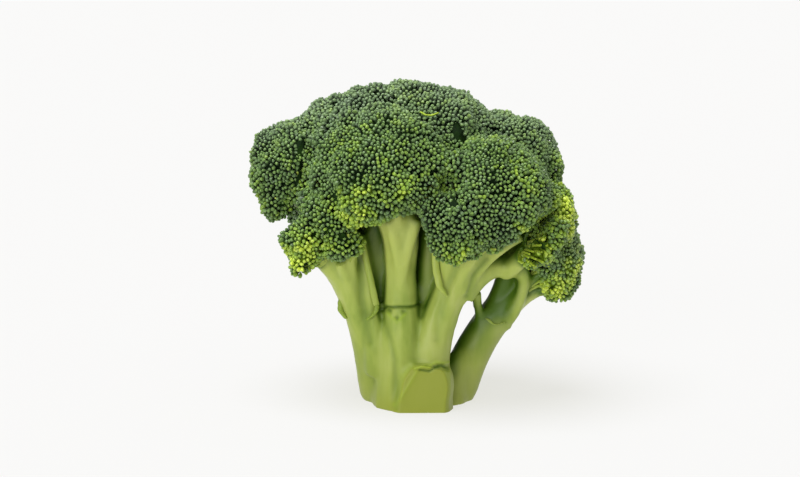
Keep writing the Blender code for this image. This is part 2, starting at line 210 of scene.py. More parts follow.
# %% The plan of the florets
FLORETS = {
    # name: middle, facing, radius, route (foot and two handles), girth (foot, waist, neck)
    "top": ((0, 6, 99), (0.08, -0.05, 1.0), 36,
            ((0, 2, 0), (0, 3, 40), (1, 5, 75)), (11.0, 8.5, 12.0)),
    "top_left": ((-23.5, 4, 100), (-0.36, -0.05, 0.92), 28.5,
                 ((-6, 4, 20), (-8, 4, 45), (-17, 5, 76)), (8.0, 7.0, 9.0)),
    "front": ((-14.5, -19.5, 99), (-0.14, -0.63, 0.77), 28.5,
              ((-7, -8, 0), (-7.0, -11, 50), (-6, -12, 78)), (10.0, 6.4, 9.6)),
    "right": ((30, -18, 86.5), (0.42, -0.66, 0.62), 28.5,
              ((4, -8, 0), (0.5, -10, 34), (17, -11, 52)), (9.5, 7.2, 10.0)),
    "mid_front": ((11.5, -28, 78.5), (-0.10, -0.85, 0.35), 17,
                  ((10, -11, 36), (13, -12, 50), (13.5, -15, 66)), (6.0, 4.6, 6.0)),
    "left": ((-50.8, 3, 99), (-0.78, -0.22, 0.60), 22.5,
             ((-12, 8, 0), (-17, 6, 48), (-36, 6, 76)), (8.5, 6.0, 7.0)),
    "lower_left": ((-37, -15, 72.5), (-0.66, -0.64, 0.16), 20.5,
                   ((-15, 6, 0), (-19, -5, 30), (-28, -8, 49)), (9.0, 6.6, 8.5)),
    "left_rim": ((-45.5, -18, 68.2), (-0.72, -0.60, -0.10), 8.2,
                 ((-26, -8, 48), (-31, -10, 53), (-38, -14, 61)), (4.4, 3.8, 4.2)),
    "back_right": ((41, 16, 101), (0.60, 0.20, 0.75), 22.5,
                   ((36, 6, 54), (38, 10, 64), (39, 13, 78)), (5.5, 5.5, 7.5)),
    "mid_right": ((52, 3, 78), (0.85, -0.25, 0.35), 15.5,
                  ((36, -3, 56), (41, -1, 62), (45, 1, 68)), (5.5, 5.0, 6.0)),
    "low_right": ((56.5, 10, 57), (0.85, -0.25, 0.05), 18,
                  ((15.5, 5, 0), (20.5, 7, 20), (34, 11, 41)), (8.3, 7.4, 6.8)),
    "right_rim": ((47.5, -13, 68), (0.60, -0.68, -0.05), 11.5,
                  ((35, -4, 56), (39, -7, 58), (43, -10, 63)), (4.4, 4.0, 4.6)),
    "back": ((2, 37, 90), (0.0, 0.80, 0.60), 31,
             ((-4, 10, 0), (-3, 14, 45), (0, 24, 70)), (9.5, 7.0, 10.0)),
    "back_left": ((-35, 32, 83), (-0.62, 0.65, 0.40), 25,
                  ((-12, 9, 10), (-14, 13, 40), (-24, 22, 61)), (8.0, 6.2, 8.0)),
    "low_back_left": ((-13, 42, 64), (-0.25, 0.90, 0.10), 18,
                      ((-8, 11, 10), (-9, 16, 32), (-11, 26, 49)), (7.0, 5.4, 6.2)),
    "low_back_right": ((27, 37, 70), (0.45, 0.82, 0.18), 20,
                       ((3, 9, 0), (4, 13, 34), (14, 21, 54)), (8.0, 6.0, 7.0)),
}


def middle_of(name):
    return Vector(FLORETS[name][0]) * MM


def facing_of(name):
    return Vector(FLORETS[name][1]).normalized()


def turn_of(name):
    """The rotation that takes straight up to the way the crown faces."""
    return facing_of(name).to_track_quat("Z", "Y").to_matrix()


print("florets in the plan:", len(FLORETS))

# %% [markdown]
# A second table has what isn't a floret's branch: the arch and the riser of the loop at the
# right, ridges and ribs, the base of the leaf at the foot, and fills that close the grooves
# between branches. Each is a curve with a radius at its start, middle and end.

# %% The plan of the arms, ridges and fills
ARMS = {
    # four points of the curve, then radius at start, middle and end
    "arch": (((17.5, -10, 47), (26, -9, 60.5), (36, -4, 60), (43, 6, 56)), (5.8, 5.0, 5.5)),
    "riser": (((32.5, 9, 37), (35, 8, 45), (37, 6, 52), (38, 3, 58)), (5.2, 4.3, 4.6)),
    "bridge": (((28, 8, 24), (26.5, 7, 32), (25.2, 3, 39), (23.8, -4, 47)), (5.0, 2.0, 3.0)),
    "outer_ridge": (((37, 4, 34), (42, 2, 41), (46, 0, 50), (43, -2, 58)), (3.4, 2.8, 3.2)),
    "left_ridge": (((-16, -6, 14), (-18, -11, 34), (-21, -12, 52), (-25, -9, 72)),
                   (6.0, 3.6, 4.5)),
    "left_fill": (((-15, -2, 30), (-16, -3, 44), (-17, -3, 58), (-18, -4, 78)),
                  (6.0, 5.5, 6.0)),
    "right_fill": (((2.5, -3.5, 34), (3.5, -4, 46), (4.5, -4.5, 58), (6, -5, 78)), (5.0, 5.0, 6.0)),
    "leaf_base": (((1, -12.5, -1), (1.5, -13.5, 5), (3, -13.5, 11), (4.5, -13, 18.5)),
                  (13.2, 12.2, 11.5)),
    "left_rib": (((-7.0, -16.4, 52), (-7.4, -17.4, 60), (-9.0, -19, 68), (-12, -20.5, 80)),
                 (2.4, 2.4, 3.2)),
    "right_rib": (((-7.0, -16.4, 52), (-6.4, -17.4, 60), (-4.5, -19, 68), (-0.5, -20, 80)),
                  (2.4, 2.4, 3.2)),
    "stem_fill": (((-6.5, -11, 58), (-6.5, -13, 66), (-6.5, -14.5, 74), (-6.5, -16, 84)),
                  (5.8, 6.7, 8.3)),
    "shoulder": (((17, -13, 50), (21, -13.5, 58), (25, -14, 63), (30, -15, 69)),
                 (5.5, 4.5, 6.5)),
    "low_joint": (((24, 4, 33), (29, 3.6, 33.6), (34, 4, 32.5), (39, 5.5, 30)),
                  (1.6, 2.2, 1.6)),
    "web": (((13, -2, -1), (14, -1, 8), (16, 1, 15), (19, 3, 21)), (6.5, 5.5, 3.5)),
    "core": (((-4, 1, -1), (-4, 1, 18), (-4, 1, 36), (-4, 1, 50)), (15.0, 15.0, 5.0)),
    "front_core": (((-5, -5, -1), (-5, -5, 12), (-5, -5, 26), (-5, -4, 40)),
                   (14.0, 13.0, 4.0)),
}
print("arms, ridges and fills:", len(ARMS))

# %% [markdown]
# The stalk is a bundle of branches that have grown together. Each branch is a tube that
# runs from the foot to the neck of its crown. A curve with a round bevel makes a good tube:
# every point of the curve has its own radius.

# %% Tubes for the branches
BRANCH_STEPS = 22
FOOT_TAPER = 3.0 * MM
CUT_DEPTH = 0.8 * MM
NECK_SHARE = 0.80
NECK_FLARE = 2.5
NECK_INSET = 2.0


def tube(name, points, radii, roundness=4):
    """A round tube through the points, as a mesh."""
    curve = bpy.data.curves.new(name, "CURVE")
    curve.dimensions = "3D"
    curve.bevel_depth = 1.0
    curve.bevel_resolution = roundness
    curve.use_fill_caps = True
    spline = curve.splines.new("POLY")
    spline.points.add(len(points) - 1)
    for knot, point, radius in zip(spline.points, points, radii):
        knot.co = (*point, 1.0)
        knot.radius = radius
    only(new_object(name, curve))
    bpy.ops.object.convert(target="MESH")
    return bpy.context.object


def girth_at(girth, share):
    """Radius along a branch: it narrows to the waist, then flares into the neck."""
    foot, waist, neck = girth
    if share < 0.5:
        return foot + (waist - foot) * float(smoothstep(share * 2))
    return waist + (neck * NECK_SHARE - waist) * (share * 2 - 1) ** NECK_FLARE


def points_along(ends, steps):
    """Points in metres on the curve whose four points are in millimetres."""
    return interpolate_bezier(*(Vector(point) * MM for point in ends), steps)


def limb(name, ends, girth):
    """A branch or an arm. One that starts on the ground gets a tapered foot, to be cut."""
    points = points_along(ends, BRANCH_STEPS)
    radii = [girth_at(girth, i / (BRANCH_STEPS - 1)) * MM for i in range(BRANCH_STEPS)]
    if ends[0][2] == 0:
        foot = points[0].copy()
        points[0] = foot + Vector((0, 0, FOOT_TAPER))
        points.insert(0, foot - Vector((0, 0, CUT_DEPTH)))
        radii.insert(0, radii[0] - FOOT_TAPER / 2)
    return tube(name, points, radii)


def branch_ends(name):
    """The four points of a branch's curve, in millimetres."""
    middle, facing, _, route, _ = FLORETS[name]
    neck = Vector(middle) - Vector(facing).normalized() * NECK_INSET
    return (*route, tuple(neck))


pieces = [limb("branch_" + name, branch_ends(name), plan[4]) for name, plan in FLORETS.items()]
pieces += [limb(name, ends, girth) for name, (ends, girth) in ARMS.items()]
print("tubes:", len(pieces))

# %% [markdown]
# A real branch isn't round. Ribs leave it above the waist, one for each group of
# stalklets, and fan out into the crown. Half a dozen thinner tubes on each branch give the
# neck these ridges once all is melted together.

# %% Ribs on the necks
LINE_STEPS = 21
RIBS = 6
RIB_STEPS = 12
RIB_FROM = 11
RIB_BEND = 16
RIB_SWAY = 0.3
RIB_OFF_AXIS = (0.60, 0.75)
RIB_RIM = 0.62
RIB_THICKNESS = (0.46, 0.24)


def around(name, angle, height=0.0):
    """A unit direction that leans out of the crown's axis, at an angle round it."""
    return turn_of(name) @ Vector((math.cos(angle), math.sin(angle), height))


def ribs_of(name):
    """Ribs that leave the branch above its waist and fan out to the rim of its crown."""
    _, _, radius, _, girth = FLORETS[name]
    line = points_along(branch_ends(name), LINE_STEPS)
    along = (line[RIB_FROM + 2] - line[RIB_FROM - 2]).normalized()
    made = []
    for index in range(RIBS):
        sway = RIB_SWAY * noise.noise(Vector((index, radius, 0.5)))
        aside = around(name, math.tau * (index + sway) / RIBS)
        across = (aside - along * aside.dot(along)).normalized()
        foot = line[RIB_FROM] + across * girth[1] * RIB_OFF_AXIS[0] * MM
        bend = line[RIB_BEND] + across * girth[1] * RIB_OFF_AXIS[1] * MM
        outward = around(name, math.tau * (index + sway) / RIBS, -0.10)
        rim = middle_of(name) + outward * radius * RIB_RIM * MM
        points = interpolate_bezier(foot, foot + along * 8 * MM, bend, rim, RIB_STEPS)
        thick, thin = RIB_THICKNESS
        radii = np.linspace(girth[1] * thick, girth[2] * thin, RIB_STEPS) * MM
        made.append(tube("rib", points, radii))
    return made


ribs = [rib for name in FLORETS for rib in ribs_of(name)]
print("ribs:", len(ribs))

# %% [markdown]
# A voxel remesh melts the tubes into one skin, and smoothing fillets the forks. Booleans
# would leave a sharp seam at every fork instead. The front of the foot will carry fine
# marks, so its faces are divided once.

# %% Melt the tubes into one stalk
STALK_VOXEL = 1.0 * MM
MARKED_ACROSS = (-27, 16)
MARKED_FRONT = -7
MARKED_TOP = 47


def gets_marks(face):
    """Whether a face is on the front of the foot, where the marks will be."""
    x, y, z = face.center / MM
    left, right = MARKED_ACROSS
    return left < x < right and y < MARKED_FRONT and z < MARKED_TOP and face.normal.y < -0.2


stalk = join(pieces + ribs, "stem")
rebuild(stalk, "melt", STALK_VOXEL)
smooth_by(stalk, "fillet", 5)
apply_modifiers(stalk)
edit_faces(stalk, [gets_marks(face) for face in stalk.data.polygons])
bpy.ops.mesh.subdivide(number_cuts=1)
bpy.ops.object.mode_set(mode="OBJECT")
print("stalk triangles:", triangles(stalk))

# %% [markdown]
# Low on the stalk the branches are nearly one, so a second smoothing works there alone and
# leaves only soft grooves. Smoothing shrinks, so the foot is swelled a little to make up for
# it. The base of the leaf keeps its form: a vertex group holds both modifiers off it.

# %% Soften the foot
SOFT_FOOT_TOP = 46
SOFT_FOOT_FADE = 20
LEAF_BASE_MIDDLE = (3, -20, 9)
LEAF_BASE_RADIUS = 9
SHRINKAGE = 0.5 * MM
places = vertices_of(stalk) / MM
low = smoothstep((SOFT_FOOT_TOP - places[:, 2]) / SOFT_FOOT_FADE)
from_leaf_base = np.linalg.norm(places - LEAF_BASE_MIDDLE, axis=1)
off_leaf_base = smoothstep((from_leaf_base - LEAF_BASE_RADIUS) / LEAF_BASE_RADIUS)
foot = weigh(stalk, "foot", low * off_leaf_base)
smooth_by(stalk, "soften_foot", 24, foot)
displace(stalk, "make_up_for_shrinking", SHRINKAGE, weights=foot)
apply_modifiers(stalk)
print("softened vertices:", int((low * off_leaf_base > 0).sum()))

# %% [markdown]
# A knife leaves flats. Where a leaf was cut off, what lies beyond the plane of the facet is
# pressed back onto it, which keeps the many small faces for the marks, and the edge of the
# facet is blended. The foot is cut off level by a bisect that also closes the cut.

# %% Cut the facet and the foot
FACET_POINT = Vector((3, -20.9, 8)) * MM
FACET_NORMAL = Vector((0.02, -1.0, 0.03)).normalized()
FACET_TOP = 24 * MM
FACET_BLEND = 2.5
FAR_OFF = 99.0


def press(obj, point, normal, top):
    """Presses what lies beyond the plane, and below the top, straight back onto it."""
    places = vertices_of(obj)
    beyond = np.maximum((places - point) @ np.array(normal), 0.0)
    beyond[places[:, 2] > top] = 0.0
    move_to(obj, places - beyond[:, None] * np.array(normal))


def facet_distance(places):
    """How far places lie from the facet's plane in millimetres, and far above its top."""
    distance = np.abs((places - FACET_POINT) @ np.array(FACET_NORMAL)) / MM
    return np.where(places[:, 2] < FACET_TOP, distance, FAR_OFF)


press(stalk, FACET_POINT, FACET_NORMAL, FACET_TOP)
from_facet = facet_distance(vertices_of(stalk))
edge = weigh(stalk, "facet_edge", smoothstep((FACET_BLEND - from_facet) / FACET_BLEND))
smooth_by(stalk, "blend_facet", 8, edge)
apply_modifiers(stalk)
edit_all(stalk)
bpy.ops.mesh.bisect(plane_co=(0, 0, 0), plane_no=(0, 0, -1), use_fill=True, clear_outer=True)
bpy.ops.object.mode_set(mode="OBJECT")
print("stalk triangles after the cuts:", triangles(stalk))

# %% [markdown]
# Growth leaves lines on a stalk: seams between branches that were once apart, and the scar
# of a leaf right across the middle branch, with three small bundle marks below it. The cut
# of the leaf at the foot has a torn lip. Each mark is a line in the front view. Vertices
# near it sink or rise a little, and how near they are is stored, so that the material can
# darken the line or make it a fresh green. On the scar, the bundle marks and the lip the
# darkening is their own colour; along the seams it is painted shade of their grooves. The
# facet and the front of the foot have dried to olive, and that is stored as well.

# %% Marks on the front of the stalk
MARKS = (
    # points (x, z), width, depth, darkness, freshness
    # The scar, its bundle marks and the torn lip are darkened in their own colour; the long seams
    # are darkened as painted shade of their grooves.
    (((-16.1, 40.6), (-13.3, 42.9), (-7.6, 43.5), (-1.0, 43.3), (0.8, 43.8)), 0.7, 0.8, 0.9, 0),
    (((-15.6, 40.0), (-14.0, 35.5), (-11.6, 29.8), (-9.8, 21.6), (-9.2, 9.9), (-9.4, 2)),
     1.3, 0.5, 0.30, 0),
    (((-1.2, 47), (-0.8, 38), (-1.2, 27), (-1.6, 21)), 1.8, 0.2, 0.22, 0),
    (((-12.4, 41.7), (-11.9, 41.5)), 0.9, 0.5, 0.8, 0),
    (((-6.3, 41.7), (-6.0, 41.5)), 0.8, 0.5, 0.7, 0),
    (((-8.9, 38.8), (-8.7, 38.4)), 0.9, 0.5, 0.7, 0),
    (((-12.4, 40.4), (-8.8, 37.4), (-5.6, 40.4)), 0.7, -0.3, 0, 0.5),
    (((-24.3, 62), (-23.4, 57), (-23.1, 46), (-21.8, 38), (-20.5, 28)), 1.8, 0.8, 0.32, 0),
    (((14.5, 60), (11, 50), (8.2, 40), (7.6, 30)), 2.0, 0.8, 0.12, 0),
    (((20, 47), (22.5, 56), (27.5, 63)), 1.2, 0.8, 0.35, 0),
    (((0.5, 17.9), (4.4, 17.3), (6.2, 18.6), (9.5, 19.0), (12.2, 17.2)), 0.5, 0.6, 0.8, 0),
    (((-1.6, 18.4), (2.0, 19.3), (4.9, 19.0), (7.0, 20.3), (12.4, 19.4)), 0.6, -0.5, 0, 0.40),
    (((-0.6, 17.5), (-4.0, 11.5), (-8.0, 5.2), (-10.0, 2.8)), 0.8, -0.2, 0, 0.22),
)
OLIVE_MIDDLE = (0, -18, 0)
OLIVE_REACH = (17, 12, 6)
OLIVE_EDGE = 1.2


def distance_to_line(flat, line):
    """Distance from every place of a flat view to a broken line in it, in millimetres."""
    nearest = np.full(len(flat), np.inf)
    for start, end in zip(line, line[1:]):
        start, end = np.array(start, float), np.array(end, float)
        along = end - start
        share = np.clip((flat - start) @ along / (along @ along), 0.0, 1.0)
        nearest = np.minimum(nearest, np.linalg.norm(flat - start - share[:, None] * along, axis=1))
    return nearest


places, normals = vertices_of(stalk), normals_of(stalk)
olive = smoothstep((OLIVE_EDGE - facet_distance(places)) / OLIVE_EDGE)
from_foot = (places / MM - OLIVE_MIDDLE) / OLIVE_REACH
olive = np.maximum(olive * 0.8, np.exp(-(from_foot ** 2).sum(axis=1)))
faces_front = smoothstep((-normals[:, 1] + 0.1) / 0.5) * (places[:, 1] < -6 * MM)
dark, fresh = np.zeros(len(places)), np.zeros(len(places))
flat = places[:, [0, 2]] / MM
for line, width, depth, darkness, freshness in MARKS:
    near = np.exp(-(distance_to_line(flat, line) / width) ** 2) * faces_front
    places -= normals * (near * depth * MM)[:, None]
    dark = np.maximum(dark, near * darkness)
    fresh = np.maximum(fresh, near * freshness)
places[:, 2] = np.maximum(places[:, 2], 0.0)
move_to(stalk, places)
store(stalk, "dark", dark)
store(stalk, "cut_face", olive)
print("vertices on marks:", int((dark > 0.2).sum()), "olive:", int((olive > 0.5).sum()))

# %% [markdown]
# Where branches stand close together they shelter each other from the light, so the skin
# there is painted a deeper, darker green: painted shade. How sheltered a place is can be
# measured by looking out from it: rays are sent in a few directions, and the share that
# hits something within reach is the answer.

# %% Measure how sheltered the stalk is, for its painted shade
SHELTER_REACH = 26 * MM
OFF_THE_SKIN = 0.6 * MM
OUTWARD = 1.02
FAR_LOSS = 0.6
LOOKS = 14
GOLDEN_ANGLE = math.pi * (3 - math.sqrt(5))


def tree_of(objects):
    """One search tree of the faces of all these objects."""
    points, faces = [], []
    for obj in objects:
        start = len(points)
        points.extend(vertex.co.copy() for vertex in obj.data.vertices)
        faces.extend([start + i for i in face.vertices] for face in obj.data.polygons)
    return BVHTree.FromPolygons(points, faces)


def looks_around(count):
    """Directions spread evenly over a sphere."""
    for index in range(count):
        z = 1 - 2 * (index + 0.5) / count
        across = math.sqrt(1 - z * z)
        turn = GOLDEN_ANGLE * index
        yield Vector((across * math.cos(turn), across * math.sin(turn), z))


def sheltered(points, normals, tree):
    """For each point, from 0, open all round, to 1, closed in. A far hit counts less."""
    views = list(looks_around(LOOKS))
    shares = []
    for point, normal in zip(points, normals):
        point, normal = Vector(point), Vector(normal)
        start = point + normal * OFF_THE_SKIN
        hits = 0.0
        for view in views:
            look = (view + normal * OUTWARD).normalized()
            place, _, _, distance = tree.ray_cast(start, look, SHELTER_REACH)
            if place is not None:
                hits += 1.0 - FAR_LOSS * distance / SHELTER_REACH
        shares.append(hits / len(views))
    return np.array(shares)


crown_copies = {node: merged_copy(node, node.replace("crown_", "skin_")) for node in crown_nodes}
everything = tree_of([stalk, *crown_copies.values()])
shelter = sheltered(vertices_of(stalk), normals_of(stalk), everything)
print("shelter from", round(shelter.min(), 2), "to", round(shelter.max(), 2))

# %% [markdown]
# The raw number is speckled, because each place looked in few directions. Averaging each
# vertex with its neighbours a few times makes it smooth. The same averaging finds the
# hollows: where the averaged surface lies outside the real one, the surface is hollow, and
# it gets painted shade as well. A few places are greener or paler than this rule says. A
# few places get more or less painted shade than this rule gives, so a short table of round
# patches corrects them.

# %% Smooth the painted shade and measure the hollows for more of it
PAINTED_SHADE_PATCHES = (
    # middle, radius, change: more is more painted shade, a darker green
    ((36, 3, 47), 10, 0.34),
    ((35, 0, 37), 6, 0.20),
    ((35, 4, 20), 15, 0.16),
    ((38, 4, 28), 12, 0.14),
    ((26, 3, 36), 7, 0.22),
    ((33, 2, 57), 6, 0.30),
    ((16, -2, 14), 8, 0.10),
    ((-14.5, -10, 62), 6, -0.10),
    ((4, -8, 62), 7, -0.05),
    ((27, 3, 66), 9, 0.15),
    ((43, 4, 38), 5, -0.20),
    ((-6, -20, 74), 11, -0.25),
    ((24, -16, 58), 10, -0.22),
    ((46, 6, 36), 8, 0.08),
    ((27, 0, 21), 8, 0.12),
    ((20, -18, 50), 8, -0.18),
    ((-6, -20, 12), 8, 0.10),
)


def averaged(obj, values, rounds):
    """Values of the vertices, averaged over their neighbours a number of times."""
    ends = np.empty(len(obj.data.edges) * 2, np.int64)
    obj.data.edges.foreach_get("vertices", ends)
    ends = ends.reshape(-1, 2)
    count = np.maximum(np.bincount(ends.reshape(-1), minlength=len(values)), 1)
    for _ in range(rounds):
        total = np.zeros_like(values)
        np.add.at(total, ends[:, 0], values[ends[:, 1]])
        np.add.at(total, ends[:, 1], values[ends[:, 0]])
        values = total / count[:, None]
    return values


def fading(places, middle, radius):
    """1 at the middle of a round patch, and fading to 0 outside its radius."""
    return np.exp(-(np.linalg.norm(places / MM - middle, axis=1) / radius) ** 2)


shelter = averaged(stalk, shelter[:, None], 5)[:, 0]
places, normals = vertices_of(stalk), normals_of(stalk)
for middle, radius, change in PAINTED_SHADE_PATCHES:
    shelter = shelter + change * fading(places, middle, radius)
hollow = ((averaged(stalk, places, 14) - places) * normals).sum(axis=1) / MM
store(stalk, "shelter", shelter)
store(stalk, "hollow", np.clip(hollow, -1.0, 1.0))
store(stalk, "young", fresh)
print("hollow from", round(hollow.min(), 2), "to", round(hollow.max(), 2), "mm")

# %% [markdown]
# Two narrow bracts hang on the middle of the stalk, and the stub of a small leaf sticks out
# on its left edge. A bract is a thin leaf: a strip a few millimetres wide, a little ruffled
# and curled. Each is a flat grid bent along a broken line, then given a thickness. A small
# flap in the joint of the right branch hugs the stalk: a Shrinkwrap modifier lays it on.
# All will be joined to the stalk, so they carry the same numbers, without marks, and each
# has one fixed amount of painted shade.

# %% Bracts and the leaf stub
BRACTS = {
    # points along its middle, width at start and end, curl, youth, painted shade
    "left_bract": (((-23.0, -14.4, 70), (-21.2, -15.0, 61.5), (-19.9, -15.3, 56),
                    (-18.6, -15.3, 50), (-17.2, -15.0, 43.3)), (2.2, 2.6), 0.8, 0.10, 0.27),
    "left_hook": (((-17.0, -15.0, 44.0), (-17.2, -15.4, 41.4), (-18.8, -15.2, 39.4),
                   (-21.2, -14.4, 37.4)), (1.6, 1.5), 0.6, 0.25, 0.42),
    "right_bract": (((6.4, -17.6, 69), (7.0, -18.8, 59), (8.6, -19.7, 52),
                     (11.4, -19.8, 48.4)), (2.8, 0.9), 0.8, 0.10, 0.14),
    "leaf_stub": (((-30.0, -9.6, 47.5), (-32.0, -10.0, 44.5), (-32.1, -10.2, 40.5),
                   (-29.6, -9.6, 37)), (2.2, 1.8), 1.0, 0.35, 0.45),
    "joint_flap": (((28.5, 2, 35.0), (31.0, 0, 33.0), (33.5, -1, 32.2), (36.5, 0, 33.0)),
                   (1.6, 0.9), 0.3, 0.20, 0.36),
    "sprig": (((0.4, -19.0, 123.2), (2.6, -19.8, 122.0), (5.0, -19.9, 121.8),
               (7.8, -19.2, 122.9)), (0.7, 0.5), 0.3, 0.95, 0.10),
}
HUGGING = ("joint_flap",)
HUG_GAP = 0.6 * MM
BRACT_ROWS = 16
BRACT_THICKNESS = 0.7 * MM
RUFFLE = 0.5


def plain(obj, young, shelter):
    """The stalk's numbers on a thin piece that has no marks."""
    count = len(obj.data.vertices)
    store(obj, "young", np.broadcast_to(young, count))
    store(obj, "shelter", np.full(count, shelter))
    for name in ("hollow", "dark", "cut_face"):
        store(obj, name, np.zeros(count))


def bract(name, line, widths, curl, young, shelter):
    """A curled strip along the line."""
    bpy.ops.object.select_all(action="DESELECT")
    bpy.ops.mesh.primitive_grid_add(x_subdivisions=4, y_subdivisions=BRACT_ROWS, size=1.0)
    strip = bpy.context.object
    strip.name = name
    curve = np.array(line, float)
    reach = np.linspace(0, 1, len(curve))
    for vertex in strip.data.vertices:
        across, share = vertex.co.x * 2, vertex.co.y + 0.5
        middle = np.array([np.interp(share, reach, curve[:, axis]) for axis in range(3)])
        width = np.interp(share, (0, 0.7, 1), (widths[0], max(widths), widths[1])) / 2
        ruffle = RUFFLE * noise.noise(Vector((share * 11, across, curl)))
        vertex.co = Vector((middle[0] + across * (width + 0.6 * ruffle),
                            middle[1] - 0.3 + curl * across * across + ruffle,
                            middle[2])) * MM
    if name in HUGGING:
        hug = strip.modifiers.new("hug", "SHRINKWRAP")
        hug.target = stalk
        hug.offset = HUG_GAP
    thick = strip.modifiers.new("thick", "SOLIDIFY")
    thick.thickness = BRACT_THICKNESS
    thick.offset = 0.0
    smooth = strip.modifiers.new("smooth", "SUBSURF")
    smooth.levels = 1
    apply_modifiers(strip)
    plain(strip, young, shelter)
    return strip


bracts = [bract(name, *shape) for name, shape in BRACTS.items()]
print("bracts:", len(bracts))

# %% [markdown]
# Under the rim of a crown the branch splits into stalklets, each with its own tuft of buds.
# They show where a crown is seen from below, and most of all on the small crowns at the
# sides, which have begun to open. Each is a thin tube from the neck to the underside of the
# crown, thinner and a brighter green towards its end. Where a neighbour presses the crown
# flat, a stalklet would come out of its side, so it is left out there.

# %% Stalklets under the crowns
STALKLETS = 20
OPEN_STALKLETS = 60
OPEN_CROWNS = ("right_rim", "left_rim", "mid_right")
STALKLET_STEPS = 6
STALKLET_FROM = 15
STALKLET_BEND = 19
STALKLET_RADII = (1.4, 0.45)
OPEN_DOME = 1.2
OPEN_REACH = (0.97, 0.80)
TIP_DEPTH = 1.5 * MM
LONGEST_SNAP = 4 * MM
crown_trees = {name: tree_of([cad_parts["crown_" + name]]) for name in FLORETS}


def way_to_tip(name, index, count):
    """(direction aside, share of it, share along the facing) to a stalklet's end."""
    if name in OPEN_CROWNS:
        steep = math.acos(1 - OPEN_DOME * (index + 0.5) / count)
        out, up = OPEN_REACH
        return around(name, GOLDEN_ANGLE * index), out * math.sin(steep), up * math.cos(steep)
    _, _, radius, _, _ = FLORETS[name]
    wobble = noise.noise(Vector((index * 1.7, radius, 2.5)))
    far = 0.5 + 0.5 * noise.noise(Vector((index * 2.3, radius, 9.5)))
    aside = around(name, math.tau * (index + 0.5 * wobble) / count)
    return aside, 0.72 + 0.30 * far, 0.30 * far - 0.10


def inside_of(name, point):
    """The point, or the nearest one just inside the crown's solid if it lies outside."""
    surface, normal, _, _ = crown_trees[name].find_nearest(point)
    if (point - surface).dot(normal) < -TIP_DEPTH:
        return point
    return surface - normal * TIP_DEPTH


def stalklet(name, index, count):
    """One stalklet in a list, or none where a neighbour has cut that side of the crown."""
    _, _, radius, _, girth = FLORETS[name]
    line = points_along(branch_ends(name), LINE_STEPS)
    facing = facing_of(name)
    aside, out, up = way_to_tip(name, index, count)
    foot = line[STALKLET_FROM] + aside * girth[1] * 0.7 * MM
    bend = line[STALKLET_BEND] + aside * radius * 0.42 * out * MM - facing * 2.5 * MM
    wanted = middle_of(name) + (aside * out + facing * up) * radius * MM
    tip = inside_of(name, wanted)
    if (tip - wanted).length > LONGEST_SNAP:
        return []
    points = interpolate_bezier(foot, foot + facing * 4 * MM, bend, tip, STALKLET_STEPS)
    radii = np.linspace(*STALKLET_RADII, STALKLET_STEPS) * MM
    made = tube("stalklet", points, radii, roundness=1)
    along = np.array([(vertex.co - foot).length for vertex in made.data.vertices])
    # Stalklets under shut crowns get painted shade; those of the open crowns hardly any.
    youth, shade = (0.8, 0.05) if name in OPEN_CROWNS else (0.3, 0.28)
    plain(made, 0.1 + youth * along / along.max(), shade)
    return [made]


stalklets = []
for name in FLORETS:
    count = OPEN_STALKLETS if name in OPEN_CROWNS else STALKLETS
    for index in range(count):
        stalklets += stalklet(name, index, count)
stalk = join([stalk, *bracts, *stalklets], "stem")
only(stalk)
bpy.ops.object.shade_smooth_by_angle(angle=math.radians(38))
print("stalklets:", len(stalklets), "stalk triangles:", triangles(stalk))

# %% [markdown]
# In a real head the crowns press together into one canopy, with no slits between them. So
# copies of all the crown solids are joined, swelled until the slits close, rebuilt as one
# skin from voxels, and drawn in again. It ends up inside the solids by more than half the
# length of a bud, because the buds will stand on it. Drawing in can fold the skin, so it is
# rebuilt once more. Two textures raise bunches: large ones, a fingertip wide, and small ones
# of half a dozen buds, with dark clefts between them.

# %% One skin over all the crowns
CANOPY_VOXEL = 1.05 * MM
CLOSING = 1.7 * MM
SKIN_INSET = 1.40 * MM
BUNCHES = (
    # name, width, height
    ("bunches", 9 * MM, 3.2 * MM),
    ("small_bunches", 4.2 * MM, 2.0 * MM),
)
BUNCH_LEVEL = 0.18


def bunch_texture(name, width):
    """Round bumps with sharp clefts between them, about this wide."""
    texture = bpy.data.textures.new(name, "VORONOI")
    texture.distance_metric = "DISTANCE_SQUARED"
    texture.noise_scale = width
    return texture


canopy = join([merged_copy(node, "part") for node in crown_nodes], "canopy")
displace(canopy, "swell", CLOSING)
rebuild(canopy, "one_skin", CANOPY_VOXEL)
smooth_by(canopy, "soften", 5)
displace(canopy, "draw_in", -CLOSING - SKIN_INSET)
rebuild(canopy, "clear_folds", CANOPY_VOXEL)
smooth_by(canopy, "soften_again", 3)
for name, width, height in BUNCHES:
    displace(canopy, name, -height, BUNCH_LEVEL, bunch_texture(name, width))
apply_modifiers(canopy)
print("canopy triangles:", triangles(canopy))

# %% [markdown]
# Here and there one side of a crown is fuller than its dome, or pressed in. These are low
# forms with soft edges, so each is one row of a table: a round patch of the canopy and how
# far it stands out at its middle.

# %% Swells of the canopy
SWELLS = (
    # middle, radius, height: less than nothing presses in
    ((-42, 2, 127), 9, 2.6),
    ((-66, 2, 111), 8, 2.0),
    ((-50, 0, 122.5), 8, -3.5),
    ((-42.5, 3, 117), 5, 4.0),
    ((33, 1, 105), 6, 3.0),
    ((70, 1, 47), 9, 5.5),
    ((-59, -18, 72), 9, 2.2),
    ((-55, -22, 60), 6, 2.0),
    ((-62, -8, 80), 8, 1.5),
    ((-20, -25, 65), 8, 5.0),
    ((-30, -29, 63), 7, 2.5),
    ((-56, -8, 79), 6, 3.5),
    ((55, -14, 80), 8, 4.0),
    ((-19.4, 4, 130), 6, 1.8),
)


def swelling_of(places):
    """How far places of the canopy swell out, in millimetres."""
    swelling = np.zeros(len(places))
    for middle, radius, height in SWELLS:
        swelling += height * fading(places, middle, radius)
    return swelling


print("swells:", len(SWELLS))

